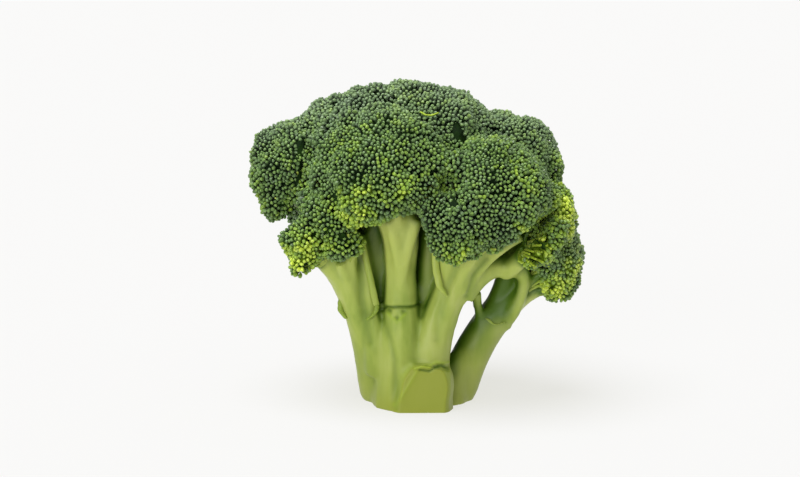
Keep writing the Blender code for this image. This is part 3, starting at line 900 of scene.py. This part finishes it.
# %% [markdown]
# Where two crowns meet, the canopy has a crease. Its place follows from the plan: it is
# where a point is about as near to one crown as to the next, counted in their own radii.
# The deepest creases and a few pits of the front are drawn as lines and dots in the front
# view, a little from above, because there they have to lie exactly. All vertices then move
# at once, by the swells and the creases together, and the skin is rebuilt once more.

# %% Creases and pits between the crowns
CREASE_DEPTH = 0.9
CREASE_SHARE = 0.06
CREASES = (
    # points (across, up), width, depth
    (((-48.3, 118), (-49.6, 105), (-48.3, 97), (-51.2, 91), (-56.7, 84)), 3.0, 2.2),
    (((-46.2, 99), (-44.5, 105), (-40.3, 112), (-32.8, 116), (-22.3, 120)), 2.2, 1.9),
    (((-39, 93), (-35, 84), (-35.7, 78), (-30.7, 70)), 2.5, 2.0),
    (((16, 116), (20.2, 108), (19.7, 103), (20.2, 95), (16.8, 89), (16.4, 84), (11, 82)),
     2.2, 2.6),
    (((22, 114), (34.4, 114), (45, 110), (51.2, 105), (57.5, 99)), 2.5, 2.2),
    (((16.6, 111.6), (17.8, 110.4)), 2.9, 5.0),
    (((19.6, 95.5), (19.8, 94.5)), 1.7, 3.0),
    (((15.8, 85.2), (17.0, 85.2)), 1.4, 3.5),
    (((-49, 99), (-49, 97)), 2.0, 3.0),
)
CAMERA_PITCH = math.radians(8.5)
CAMERA_DISTANCE = 793.3
AIM = (-7.56, 68.25)


def distances_in_radii(places):
    """From every place to every crown's middle, counted in that crown's radius."""
    middles = np.array([plan[0] for plan in FLORETS.values()], float) * MM
    radii = np.array([plan[2] for plan in FLORETS.values()], float) * MM
    return np.linalg.norm(places[:, None, :] - middles, axis=2) / radii


def front_view(places):
    """Where places lie in the front view, from a little above, in millimetres."""
    x, y, z = places.T / MM
    across, up = AIM
    raised = z * math.cos(CAMERA_PITCH) + y * math.sin(CAMERA_PITCH)
    behind = y * math.cos(CAMERA_PITCH) - z * math.sin(CAMERA_PITCH)
    scale = CAMERA_DISTANCE / (CAMERA_DISTANCE + behind)
    return np.stack([across + (x - across) * scale, up + (raised - up) * scale], axis=1)


def dents_of(places):
    """How deep each place of the canopy is pressed in, in millimetres."""
    nearest = np.sort(distances_in_radii(places), axis=1)
    dents = CREASE_DEPTH * np.exp(-((nearest[:, 1] - nearest[:, 0]) / CREASE_SHARE) ** 2)
    faces_front = smoothstep(-places[:, 1] / (6 * MM))
    flat = front_view(places)
    for line, width, depth in CREASES:
        near = np.exp(-(distance_to_line(flat, line) / width) ** 2) * faces_front
        dents = dents + depth * near
    return dents - swelling_of(places)


places = vertices_of(canopy)
dents = dents_of(places)
move_to(canopy, places - normals_of(canopy) * dents[:, None] * MM)
print("deepest dent in mm:", round(float(dents.max()), 1))
rebuild(canopy, "clear_folds", CANOPY_VOXEL)
smooth_by(canopy, "soften", 1)
apply_modifiers(canopy)
dents = dents_of(vertices_of(canopy))
canopy_tree = tree_of([canopy])

# %% [markdown]
# A head doesn't ripen evenly. Patches of buds have turned yellow-green, a pale film lies on
# those at the top and the back, partly wax and partly painted sheen, and in a few places the
# crown has begun to open.
# Noise alone would put these anywhere, so tables of round patches say where they are, and
# noise only makes them uneven.

# %% Tone, wax with painted sheen, and opening
YELLOW_PATCHES = (
    # middle, radius, strength
    ((-50, -26, 64), 11, 0.80),
    ((-38, -33, 62), 8, 0.35),
    ((-66, -6, 84), 6, 0.35),
    ((-27, -40, 84), 12, 0.55),
    ((-45, -24, 92), 9, -0.20),
    ((6, -42, 92), 4, 0.55),
    ((-10, -44, 96), 9, 0.20),
    ((-24, -34, 117), 8, 0.22),
    ((60, -8, 80), 11, 0.85),
    ((63, 4, 93), 12, 0.20),
    ((62, -2, 44), 10, 0.70),
    ((65, -3, 57), 9, 0.50),
    ((50, -4, 44), 8, 0.60),
    ((14, -40, 63), 7, 0.50),
    ((48, -24, 66), 10, 0.85),
    ((41, -36, 76), 5, 0.50),
    ((40, -30, 96), 10, 0.25),
)
WAX_AND_SHEEN_PATCH = ((66, 4, 67), 11)
OPEN_PATCHES = (
    # middle, radius
    ((-46, -26, 58.5), 5),
    ((45.5, -25, 66), 9.5),
    ((55, -2, 43), 6),
)
WAX_AND_SHEEN_FROM = 98


def nearness(point, middle, radius):
    """1 at the middle of a round patch, and fading to 0 outside its radius."""
    return math.exp(-((point - Vector(middle) * MM).length / (radius * MM)) ** 2)


def tone_at(point, height):
    """From 0, shut and blue-green, to 1, yellow-green."""
    fine = noise.noise(point / (4.0 * MM) + Vector((7.0, 3.0, 1.0)))
    tone = 0.22 + 0.20 * noise.noise(point / (15 * MM)) + 0.22 * fine
    tone += 0.20 * float(smoothstep((0.10 - height) / 0.5))
    for middle, radius, strength in YELLOW_PATCHES:
        tone += strength * nearness(point, middle, radius) * (0.75 + 0.7 * fine)
    return tone


def wax_and_sheen_at(point):
    """How thick the pale film is, 0 to 1: partly wax and partly painted sheen, thickest on the
    crowns at the top and the back.
    """
    height = point.z / MM - WAX_AND_SHEEN_FROM + 0.6 * (point.y / MM + 10)
    return max(float(smoothstep(height / 35)), nearness(point, *WAX_AND_SHEEN_PATCH))


def opened_at(point):
    """How far a place of a crown has opened: 0 outside the open patches, 1 well inside."""
    depth = max(nearness(point, *patch) for patch in OPEN_PATCHES)
    return float(smoothstep((depth - 0.30) / 0.25))


print("yellow-green patches:", len(YELLOW_PATCHES), "open patches:", len(OPEN_PATCHES))

# %% [markdown]
# Each piece of the canopy goes back to the crown that it came from: the one with the least
# distance for its size, which puts the border near where the solids meet. Numbers are stored
# for the scattering: how thickly buds stand, how far they have turned yellow-green, how much
# pale film of wax and painted sheen they have, how large they are and how far they may rise.
# Buds cover the dome and go just round the rim. Where a crown has begun to open, bare gaps
# show the bright stalklets, and a few deep pits between crowns have no buds.

# %% Where buds grow
RIM = -0.34
OPEN_RIM = -0.60
LOW_RIMS = (*OPEN_CROWNS, "lower_left")
BARE_DEPTH = 5.6


def owners_of(places):
    """For each place, the floret whose middle is nearest, counted in its own radii."""
    return distances_in_radii(places).argmin(axis=1)


def height_on(name, point):
    """How near a point is to the top of the crown: 1 at its top, 0 at its rim."""
    return (point - middle_of(name)).normalized().dot(facing_of(name))


def bloom_at(name, point, normal, height):
    """How thickly buds stand: all over the dome, raggedly at the rim, in tufts where open."""
    ragged = 0.14 * noise.noise(point / (4 * MM))
    rim = OPEN_RIM if name in LOW_RIMS else RIM
    dome = float(smoothstep((height - rim + ragged) / 0.10))
    lit = float(smoothstep((normal.z - 0.05) / 0.15))
    tufts = noise.noise(point / (3.4 * MM) + Vector((2.0, 5.0, 8.0)))
    bare = opened_at(point) * float(smoothstep((0.24 - tufts) / 0.12))
    return max(dome, lit) * (1.0 - bare)


def numbers_at(name, vertex, dent):
    """What the scattering and the materials read at a vertex of this crown."""
    height = height_on(name, vertex.co)
    rim = float(smoothstep((0.25 - height) / 0.5))
    return {
        "bloom": bloom_at(name, vertex.co, vertex.normal, height) * (dent < BARE_DEPTH),
        "tone": tone_at(vertex.co, height),
        "wax": wax_and_sheen_at(vertex.co),
        "bud_size": 1.0 + 0.08 * rim + 0.22 * noise.noise(vertex.co / (12 * MM)),
        "rise": (0.30 + 0.5 * rim) * MM,
    }


names = list(FLORETS)
owners = owners_of(vertices_of(canopy))
rows = [numbers_at(names[owner], vertex, dent)
        for vertex, owner, dent in zip(canopy.data.vertices, owners, dents)]
for key in rows[0]:
    store(canopy, key, [row[key] for row in rows])
print("share of the skin with buds:", round(float(np.mean([row["bloom"] for row in rows])), 2))

# %% [markdown]
# Each crown is a piece of its own, so the canopy is cut up along the borders. For every
# crown a copy of the canopy loses the faces that belong to others. The neighbours share
# their border, so no slit shows between them.

# %% Cut the canopy into the crowns' own parts


def part_of_canopy(index, name):
    """A copy of the canopy with only the faces that belong to one floret."""
    part = new_object("skin_part_" + name, canopy.data.copy())
    edit_faces(part, owners_of(rows_of(part.data.polygons, "center")) != index)
    bpy.ops.mesh.delete(type="FACE")
    bpy.ops.object.mode_set(mode="OBJECT")
    return part


skin_parts = {"crown_" + name: part_of_canopy(i, name) for i, name in enumerate(FLORETS)}
bpy.data.objects.remove(canopy)
print("parts of the canopy:", len(skin_parts))

# %% [markdown]
# A bud is a small egg on a short stalk. Thousands of copies are made of it, so it has only a
# few dozen faces: a sphere primitive of six sides, a little full near the tip, and drawn in
# and pulled out below into the stalk. Every second edge line is drawn in, which gives it
# the folds of its closed leaves. A number at each vertex says how far up the bud it lies.

# %% Model one bud
BUD_HALF_WIDTH = 0.95 * MM
BUD_HALF_LENGTH = 1.15 * MM
FOLD = 0.80
TIP_WIDTH = 1.06
NECK_WIDTH = 0.55
NECK_LENGTH = 1.35
bpy.ops.object.select_all(action="DESELECT")
bpy.ops.mesh.primitive_uv_sphere_add(segments=6, ring_count=4, radius=1.0)
bud = bpy.context.object
bud.name = "bud"
for vertex in bud.data.vertices:
    x, y, z = vertex.co
    width = 1.0 if round(math.degrees(math.atan2(y, x)) / 60) % 2 else FOLD
    if z > 0.5:
        width *= TIP_WIDTH
    if z < -0.5:
        width *= NECK_WIDTH
        z *= NECK_LENGTH
    vertex.co = (x * width * BUD_HALF_WIDTH, y * width * BUD_HALF_WIDTH, z * BUD_HALF_LENGTH)
bpy.ops.object.shade_smooth_by_angle(angle=math.radians(34))
bud_heights = vertices_of(bud)[:, 2] / BUD_HALF_LENGTH
store(bud, "tip", np.clip(bud_heights * 0.5 + 0.5, 0, 1))
print("faces of a bud:", len(bud.data.polygons))

# %% [markdown]
# Materials and node groups are nodes whose inputs hold a value or a link. One helper adds a
# node and fills its inputs, whichever of the two it gets, and the others name the nodes
# that are used most: arithmetic, a colour ramp, a mix of two colours.

# %% Helpers for building nodes


def socket_called(sockets, key):
    """A socket by its number, or the first of that name that the settings switch on."""
    if isinstance(key, int):
        return sockets[key]
    return next(socket for socket in sockets if socket.enabled and socket.name == key)


def put(tree, socket, value):
    """Links another node's output to a socket, or sets it to a number, name or colour."""
    if isinstance(value, bpy.types.NodeSocket):
        tree.links.new(value, socket)
    elif socket.type == "RGBA":
        socket.default_value = (*value, 1.0)
    else:
        socket.default_value = value


def add_node(tree, kind, inputs=None, **settings):
    node = tree.nodes.new(kind)
    for key, value in settings.items():
        setattr(node, key, value)
    for key, value in (inputs or {}).items():
        put(tree, socket_called(node.inputs, key), value)
    return node


def maths(tree, operation, *values, clamp=False):
    inputs = dict(enumerate(values))
    return add_node(tree, "ShaderNodeMath", inputs, operation=operation, use_clamp=clamp).outputs[0]


def ramp(tree, factor, stops):
    """A colour ramp: stops are (place, (red, green, blue)) in linear light."""
    node = add_node(tree, "ShaderNodeValToRGB", {"Fac": factor})
    elements = node.color_ramp.elements
    while len(elements) < len(stops):
        elements.new(0.5)
    for element, (place, colour) in zip(elements, stops):
        element.position = place
        element.color = (*colour, 1.0)
    return node.outputs["Color"]


def mix(tree, factor, a, b):
    return add_node(tree, "ShaderNodeMix", {0: factor, 6: a, 7: b}, data_type="RGBA").outputs[2]


# %% [markdown]
# The colour of broccoli is never flat. Materials mix a few greens by the numbers that are
# stored on the mesh and by noise in the object's own space. Both the stalk and the cores of
# the crowns need the same irregular mottle, so it is a node group: its inputs are a place
# and two scales, and its output is a number.

# %% Stored numbers and the mottle


def attribute(tree, name):
    return add_node(tree, "ShaderNodeAttribute", attribute_name=name).outputs["Fac"]


def new_group(name, kind, sockets):
    """(a node group with these sockets, its input node, its output node)"""
    group = bpy.data.node_groups.new(name, kind)
    for socket, side, value_type in sockets:
        group.interface.new_socket(socket, in_out=side, socket_type="NodeSocket" + value_type)
    return group, add_node(group, "NodeGroupInput"), add_node(group, "NodeGroupOutput")


def mottle_group():
    group, start, end = new_group("mottle", "ShaderNodeTree", (
        ("Place", "INPUT", "Vector"),
        ("Broad Scale", "INPUT", "Float"),
        ("Fine Scale", "INPUT", "Float"),
        ("Value", "OUTPUT", "Float"),
    ))
    layers = []
    for scale, share in (("Broad Scale", 0.6), ("Fine Scale", 0.4)):
        layer = add_node(group, "ShaderNodeTexNoise", {
            "Vector": start.outputs["Place"],
            "Scale": start.outputs[scale],
            "Detail": 3.0,
        })
        layers.append(maths(group, "MULTIPLY", layer.outputs["Fac"], share))
    put(group, end.inputs["Value"], maths(group, "ADD", *layers))
    return group


MOTTLE = mottle_group()


def mottle(tree, stretch, broad, fine):
    """The mottle in the object's own coordinates, stretched along each axis."""
    place = add_node(tree, "ShaderNodeTexCoord").outputs["Object"]
    mapping = add_node(tree, "ShaderNodeMapping", {"Vector": place, "Scale": stretch})
    spots = add_node(tree, "ShaderNodeGroup", node_tree=MOTTLE)
    put(tree, spots.inputs["Place"], mapping.outputs["Vector"])
    put(tree, spots.inputs["Broad Scale"], broad)
    put(tree, spots.inputs["Fine Scale"], fine)
    return spots.outputs["Value"]


print("nodes in the mottle:", len(MOTTLE.nodes))

# %% [markdown]
# A shut bud is dark green under a thin pale bloom of wax, which is thickest at its tip. The
# pale tip is partly a painted highlight, and the near-black root of a shut bud is painted
# shade of the gaps between buds. In a patch that has begun to open the lower half of each
# bud is bright yellow-green. So one number, the tone, moves both the colour of the root and
# that of the tip, and the height on the bud mixes the two. On the crowns at the top and the
# back a greyer film lies over it, partly wax and partly painted sheen. The core under the
# buds is the dark depth between them, painted shade, and a plain yellow-green on the
# underside of a crown.

# %% Bud and core materials


def new_material(name, values):
    """(a material, its node tree, its Principled shader set to these values)"""
    material = bpy.data.materials.new(name)
    material.use_nodes = True
    tree = material.node_tree
    shader = tree.nodes["Principled BSDF"]
    for key, value in values.items():
        put(tree, shader.inputs[key], value)
    return material, tree, shader


def bud_material():
    material, tree, shader = new_material("buds", {
        "Roughness": 0.42,
        "Specular IOR Level": 0.45,
        "Sheen Weight": 0.12,
    })
    chance = maths(tree, "MULTIPLY", attribute(tree, "chance"), 0.16)
    toned = maths(tree, "ADD", attribute(tree, "tone"), chance)
    # The dark low end of the root ramp is painted shade between the buds.
    root = ramp(tree, toned, (
        (0.00, (0.010, 0.030, 0.005)),
        (0.30, (0.022, 0.058, 0.006)),
        (0.55, (0.140, 0.235, 0.008)),
        (1.00, (0.420, 0.540, 0.030)),
    ))
    # The pale top ramp is partly the bloom of wax and partly a painted highlight.
    top = ramp(tree, toned, (
        (0.00, (0.110, 0.204, 0.058)),
        (0.30, (0.153, 0.272, 0.049)),
        (0.55, (0.250, 0.400, 0.033)),
        (1.00, (0.590, 0.720, 0.075)),
    ))
    colour = mix(tree, maths(tree, "POWER", attribute(tree, "tip"), 1.9), root, top)
    # A greyer film, partly wax and partly painted sheen, on the crowns at the top and the back.
    wax_and_sheen_share = maths(tree, "MULTIPLY", attribute(tree, "wax"), 0.25)
    colour = mix(tree, wax_and_sheen_share, colour, (0.30, 0.38, 0.28))
    put(tree, shader.inputs["Base Color"], colour)
    return material


def core_material():
    material, tree, shader = new_material("shaded_core", {
        "Roughness": 0.8,
        "Specular IOR Level": 0.1,
    })
    spots = maths(tree, "MULTIPLY", mottle(tree, (1, 1, 1), 60.0, 500.0), 0.2)
    toned = maths(tree, "ADD", attribute(tree, "tone"), spots)
    # The near-black of this ramp is painted shade: the depth between the buds.
    colour = ramp(tree, toned, (
        (0.30, (0.004, 0.013, 0.002)),
        (0.50, (0.012, 0.038, 0.003)),
        (0.95, (0.180, 0.290, 0.010)),
    ))
    colour = mix(tree, attribute(tree, "under"), colour, (0.090, 0.150, 0.012))
    put(tree, shader.inputs["Base Color"], colour)
    return material


BUDS = bud_material()
CORE = core_material()
bud.data.materials.append(BUDS)
print("materials:", BUDS.name, CORE.name)

# %% [markdown]
# Placing thousands of buds by hand is hopeless, so a node group does it. It scatters points
# over the skin that keep a least distance from each other and stores a chance number on
# each, lifts or sinks them a little, sets a bud on each, turns it about its own line, leans
# it and varies its size. The copies are realised, so the result is a plain mesh.

# %% Node group that scatters the buds
BUD_SPACING = 1.42 * MM
MOST_BUDS_PER_M2 = 3.0e6
LEAN = 0.45
SMALLEST = (0.80, 0.80, 0.85)
LARGEST = (1.20, 1.20, 1.20)


def scatter_group():
    group, start, end = new_group("scatter_buds", "GeometryNodeTree", (
        ("Geometry", "INPUT", "Geometry"),
        ("Seed", "INPUT", "Int"),
        ("Geometry", "OUTPUT", "Geometry"),
    ))

    def named(name):
        node = add_node(group, "GeometryNodeInputNamedAttribute", {"Name": name}, data_type="FLOAT")
        return socket_called(node.outputs, "Attribute")

    def chance(low, high, seed, kind="FLOAT"):
        limits = {"Min": low, "Max": high, "Seed": seed}
        node = add_node(group, "FunctionNodeRandomValue", limits, data_type=kind)
        return socket_called(node.outputs, "Value")

    scatter = add_node(group, "GeometryNodeDistributePointsOnFaces", {
        "Mesh": start.outputs["Geometry"],
        "Seed": start.outputs["Seed"],
        "Distance Min": BUD_SPACING,
        "Density Max": MOST_BUDS_PER_M2,
        "Density Factor": named("bloom"),
    }, distribute_method="POISSON")
    keep = add_node(group, "GeometryNodeStoreNamedAttribute", {
        "Geometry": scatter.outputs["Points"],
        "Name": "chance",
        "Value": chance(-1.0, 1.0, 5),
    }, data_type="FLOAT", domain="POINT")
    lift = add_node(group, "ShaderNodeVectorMath", {
        "Vector": scatter.outputs["Normal"],
        "Scale": maths(group, "MULTIPLY", named("rise"), chance(-0.4, 1.0, 9)),
    }, operation="SCALE")
    move = add_node(group, "GeometryNodeSetPosition", {
        "Geometry": keep.outputs["Geometry"],
        "Offset": lift.outputs["Vector"],
    })
    lean = chance((-LEAN, -LEAN, -math.pi), (LEAN, LEAN, math.pi), 2, "FLOAT_VECTOR")
    turn = add_node(group, "FunctionNodeEulerToRotation", {0: lean})
    rotate = add_node(group, "FunctionNodeRotateRotation", {
        0: scatter.outputs["Rotation"],
        1: turn.outputs[0],
    }, rotation_space="LOCAL")
    size = add_node(group, "ShaderNodeVectorMath", {
        "Vector": chance(SMALLEST, LARGEST, 3, "FLOAT_VECTOR"),
        "Scale": named("bud_size"),
    }, operation="SCALE")
    one_bud = add_node(group, "GeometryNodeObjectInfo", {"Object": bud, "As Instance": True})
    copies = add_node(group, "GeometryNodeInstanceOnPoints", {
        "Points": move.outputs["Geometry"],
        "Instance": one_bud.outputs["Geometry"],
        "Rotation": rotate.outputs[0],
        "Scale": size.outputs["Vector"],
    })
    real = add_node(group, "GeometryNodeRealizeInstances", {"Geometry": copies.outputs["Instances"]})
    put(group, end.inputs["Geometry"], real.outputs["Geometry"])
    return group


SCATTER = scatter_group()
print("nodes in the scatter group:", len(SCATTER.nodes))

# %% [markdown]
# A crown of buds has depth: between the buds one sees down to shaded stalklets. So under
# the buds of each crown lies a core, a copy of its solid in a material of its own, drawn in
# to lie a few millimetres deep and deeper still where the crown has begun to open. It closes
# the view into the head. Deep between two crowns light would show through a slit, so the
# cores overlap there instead.

# %% Cores under the buds
CORE_VOXEL = 2.0 * MM
FREE_INSET = 3.8 * MM
TOUCHING_INSET = 2.5 * MM
OPEN_INSET = 9.0 * MM
OVERLAP = 1.0 * MM
TOUCHING = 1.6 * MM


def inset_at(point, others):
    """How far the core is drawn in at a point of the solid. Less than nothing overlaps."""
    inset = FREE_INSET
    if others.find_nearest(point, TOUCHING)[0]:
        nearest, outward, _, _ = canopy_tree.find_nearest(point)
        depth = (nearest - point).dot(outward) / MM
        inset = TOUCHING_INSET - (TOUCHING_INSET + OVERLAP) * float(smoothstep((depth - 2) / 3))
    return inset + (OPEN_INSET - inset) * opened_at(point)


def core_of(node):
    """The dark inside of a crown: its solid, drawn in to lie under the buds."""
    name = node.replace("crown_", "")
    core = crown_copies[node]
    rebuild(core, "even_faces", CORE_VOXEL)
    apply_modifiers(core)
    places = vertices_of(core)
    move_to(core, places + normals_of(core) * swelling_of(places)[:, None] * MM)
    others = tree_of([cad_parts[other] for other in crown_nodes if other != node])
    points = [vertex.co.copy() for vertex in core.data.vertices]
    heights = [height_on(name, point) for point in points]
    insets = np.array([inset_at(point, others) for point in points])
    store(core, "tone", [tone_at(point, height) * (1 - 0.2 * opened_at(point))
                         for point, height in zip(points, heights)])
    store(core, "under", smoothstep((-0.25 - np.array(heights)) / 0.2))
    move_to(core, vertices_of(core) - normals_of(core) * insets[:, None])
    smooth_by(core, "soften", 3)
    apply_modifiers(core)
    core.data.materials.append(CORE)
    only(core)
    bpy.ops.object.shade_smooth()
    return core


cores = {node: core_of(node) for node in crown_nodes}
print("triangles in the cores:", sum(triangles(core) for core in cores.values()))

# %% [markdown]
# Now every part of the canopy gets its buds from the node group, with a seed of its own so
# that no two crowns are alike. The skin itself is gone after that. The buds and the core
# under them are joined into one piece.

# %% Grow every crown


def grow_crown(node, seed):
    """The buds and the core under them, as one piece that stands for the solid."""
    buds = skin_parts[node]
    modifier = buds.modifiers.new("scatter", "NODES")
    modifier.node_group = SCATTER
    seed_input = next(item for item in SCATTER.interface.items_tree if item.name == "Seed")
    modifier[seed_input.identifier] = seed
    apply_modifiers(buds)
    return join([cores[node], buds], node.replace("crown_", "florets_"))


florets = {node: grow_crown(node, seed) for seed, node in enumerate(crown_nodes)}
bpy.data.objects.remove(bud)
print("triangles in the crowns:", {node[6:]: triangles(obj) for node, obj in florets.items()})
print("triangles in all:", triangles(stalk) + sum(triangles(obj) for obj in florets.values()))

# %% [markdown]
# The stalk's skin is pale yellow-green with fine fibres that run up it. It is painted paler
# high up and darker low down, as painted light and painted shade. Hollows and sheltered
# places get painted shade, a deeper green, seams and scars are darker, the foot and the old
# cut are olive, and the young stalklets are bright. Each of these is a mix whose share is a
# stored number or a height, and a table lists them in the order in which they lie over
# each other.

# %% Stalk material


def stalk_material():
    material, tree, shader = new_material("stalk", {
        "Roughness": 0.42,
        "Specular IOR Level": 0.30,
        "Subsurface Weight": 0.10,
        "Subsurface Radius": (3 * MM, 3 * MM, 1 * MM),
        "Subsurface Scale": 1.0,
    })
    fibres = mottle(tree, (1, 1, 0.12), 150.0, 520.0)
    patches = mottle(tree, (1, 1, 0.5), 50.0, 140.0)
    tone = maths(tree, "ADD", maths(tree, "MULTIPLY", fibres, 0.30),
                 maths(tree, "MULTIPLY", patches, 0.70))
    skin = ramp(tree, tone, (
        (0.40, (0.230, 0.318, 0.042)),
        (0.50, (0.330, 0.408, 0.072)),
        (0.60, (0.405, 0.465, 0.118)),
    ))
    place = add_node(tree, "ShaderNodeTexCoord").outputs["Object"]
    height = add_node(tree, "ShaderNodeSeparateXYZ", {0: place}).outputs["Z"]
    # Paler high up is painted light, and darker low down is painted shade.
    high = maths(tree, "MULTIPLY_ADD", height, 1 / (34 * MM), -1.2, clamp=True)
    low = maths(tree, "MULTIPLY_ADD", height, -1 / (40 * MM), 1.0, clamp=True)
    # Sheltered places and hollows are darkened to a deeper green: painted shade.
    shade = maths(tree, "SUBTRACT", attribute(tree, "shelter"), 0.22)
    hollow = maths(tree, "MULTIPLY", attribute(tree, "hollow"), 0.7, clamp=True)
    for share, colour in (
        (maths(tree, "MULTIPLY", high, 0.75), (0.500, 0.560, 0.130)),
        (maths(tree, "MULTIPLY", low, 0.75), (0.235, 0.276, 0.034)),
        (hollow, (0.120, 0.195, 0.022)),
        (maths(tree, "MULTIPLY", shade, 2.6, clamp=True), (0.070, 0.140, 0.008)),
        (attribute(tree, "cut_face"), (0.225, 0.255, 0.020)),
        (attribute(tree, "dark"), (0.070, 0.130, 0.010)),
        (attribute(tree, "young"), (0.300, 0.430, 0.020)),
    ):
        skin = mix(tree, share, skin, colour)
    put(tree, shader.inputs["Base Color"], skin)
    bump = add_node(tree, "ShaderNodeBump", {
        "Strength": 0.2,
        "Distance": 0.3 * MM,
        "Height": fibres,
    })
    put(tree, shader.inputs["Normal"], bump.outputs["Normal"])
    return material


stalk.data.materials.clear()
stalk.data.materials.append(stalk_material())
print("stalk material:", stalk.data.materials[0].name)

# %% [markdown]
# The new pieces now stand for the solids, which are hidden. All of them ride on the one body,
# because the head is a single grown piece.

# %% Stand the new pieces in for the solids
for node, piece in florets.items():
    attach(piece, "root")
    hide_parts(node)
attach(stalk, "root")
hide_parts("stalk")
print("pieces:", len(florets) + 1)

# %% [markdown]
# The head stands on a plain pale floor that runs far back into a white room, under large
# soft lights, as for a product photograph. The floor glows a little, so that it is as pale
# as the room behind it and only a soft shadow shows on it.

# %% Floor and lights


def pale_floor():
    bpy.ops.object.select_all(action="DESELECT")
    bpy.ops.mesh.primitive_plane_add(size=60.0, location=(0, 0, 0))
    floor = bpy.context.object
    floor.name = "floor"
    material, _, _ = new_material("pale_floor", {
        "Base Color": (0.150, 0.151, 0.175),
        "Roughness": 1.0,
        "Specular IOR Level": 0.0,
        "Emission Color": (1.0, 0.993, 0.93),
        "Emission Strength": 0.72,
    })
    floor.data.materials.append(material)
    return floor


def soft_sun(name, place, strength, spread):
    """A sun that shines from this place towards the head, with soft shadows."""
    light = bpy.data.lights.new(name, "SUN")
    light.energy = strength
    light.angle = math.radians(spread)
    sun = new_object(name, light)
    sun.rotation_euler = (-Vector(place)).to_track_quat("-Z", "Y").to_euler()


def white_room(seen, lighting):
    """A plain world that the camera sees brighter than it lights the head."""
    world = bpy.data.worlds.new("white_room")
    world.use_nodes = True
    tree = world.node_tree
    background = tree.nodes["Background"]
    camera_ray = add_node(tree, "ShaderNodeLightPath").outputs["Is Camera Ray"]
    strength = maths(tree, "MULTIPLY_ADD", camera_ray, seen - lighting, lighting)
    put(tree, background.inputs["Color"], (1, 1, 1))
    put(tree, background.inputs["Strength"], strength)
    return world


pale_floor()
soft_sun("overhead", (-0.25, -0.20, 1.0), 3.5, 45)
soft_sun("front_fill", (-0.50, -1.0, 0.06), 2.05, 40)
bpy.context.scene.world = white_room(0.975, 0.44)
bpy.context.scene.view_settings.view_transform = "Standard"
print("lights:", [light.name for light in bpy.data.lights])

# %% [markdown]
# The camera stands about 80 cm away and looks down a little, with a long lens, because the
# photo shows the foot and the crown with hardly any perspective. Its place and pitch are the
# ones by which the creases were drawn.

# %% Camera
camera = new_object("camera", bpy.data.cameras.new("camera"))
camera.data.lens = 85
camera.data.sensor_width = 36
aim = Vector((AIM[0], 0, AIM[1])) * MM
back = CAMERA_DISTANCE * MM
down, level = math.sin(CAMERA_PITCH), math.cos(CAMERA_PITCH)
camera.location = (aim.x, aim.z * down - back * level, aim.z * level + back * down)
camera.rotation_euler = (math.pi / 2 - CAMERA_PITCH, 0, 0)
bpy.context.scene.camera = camera
print("camera in mm:", [round(value / MM, 1) for value in camera.location])
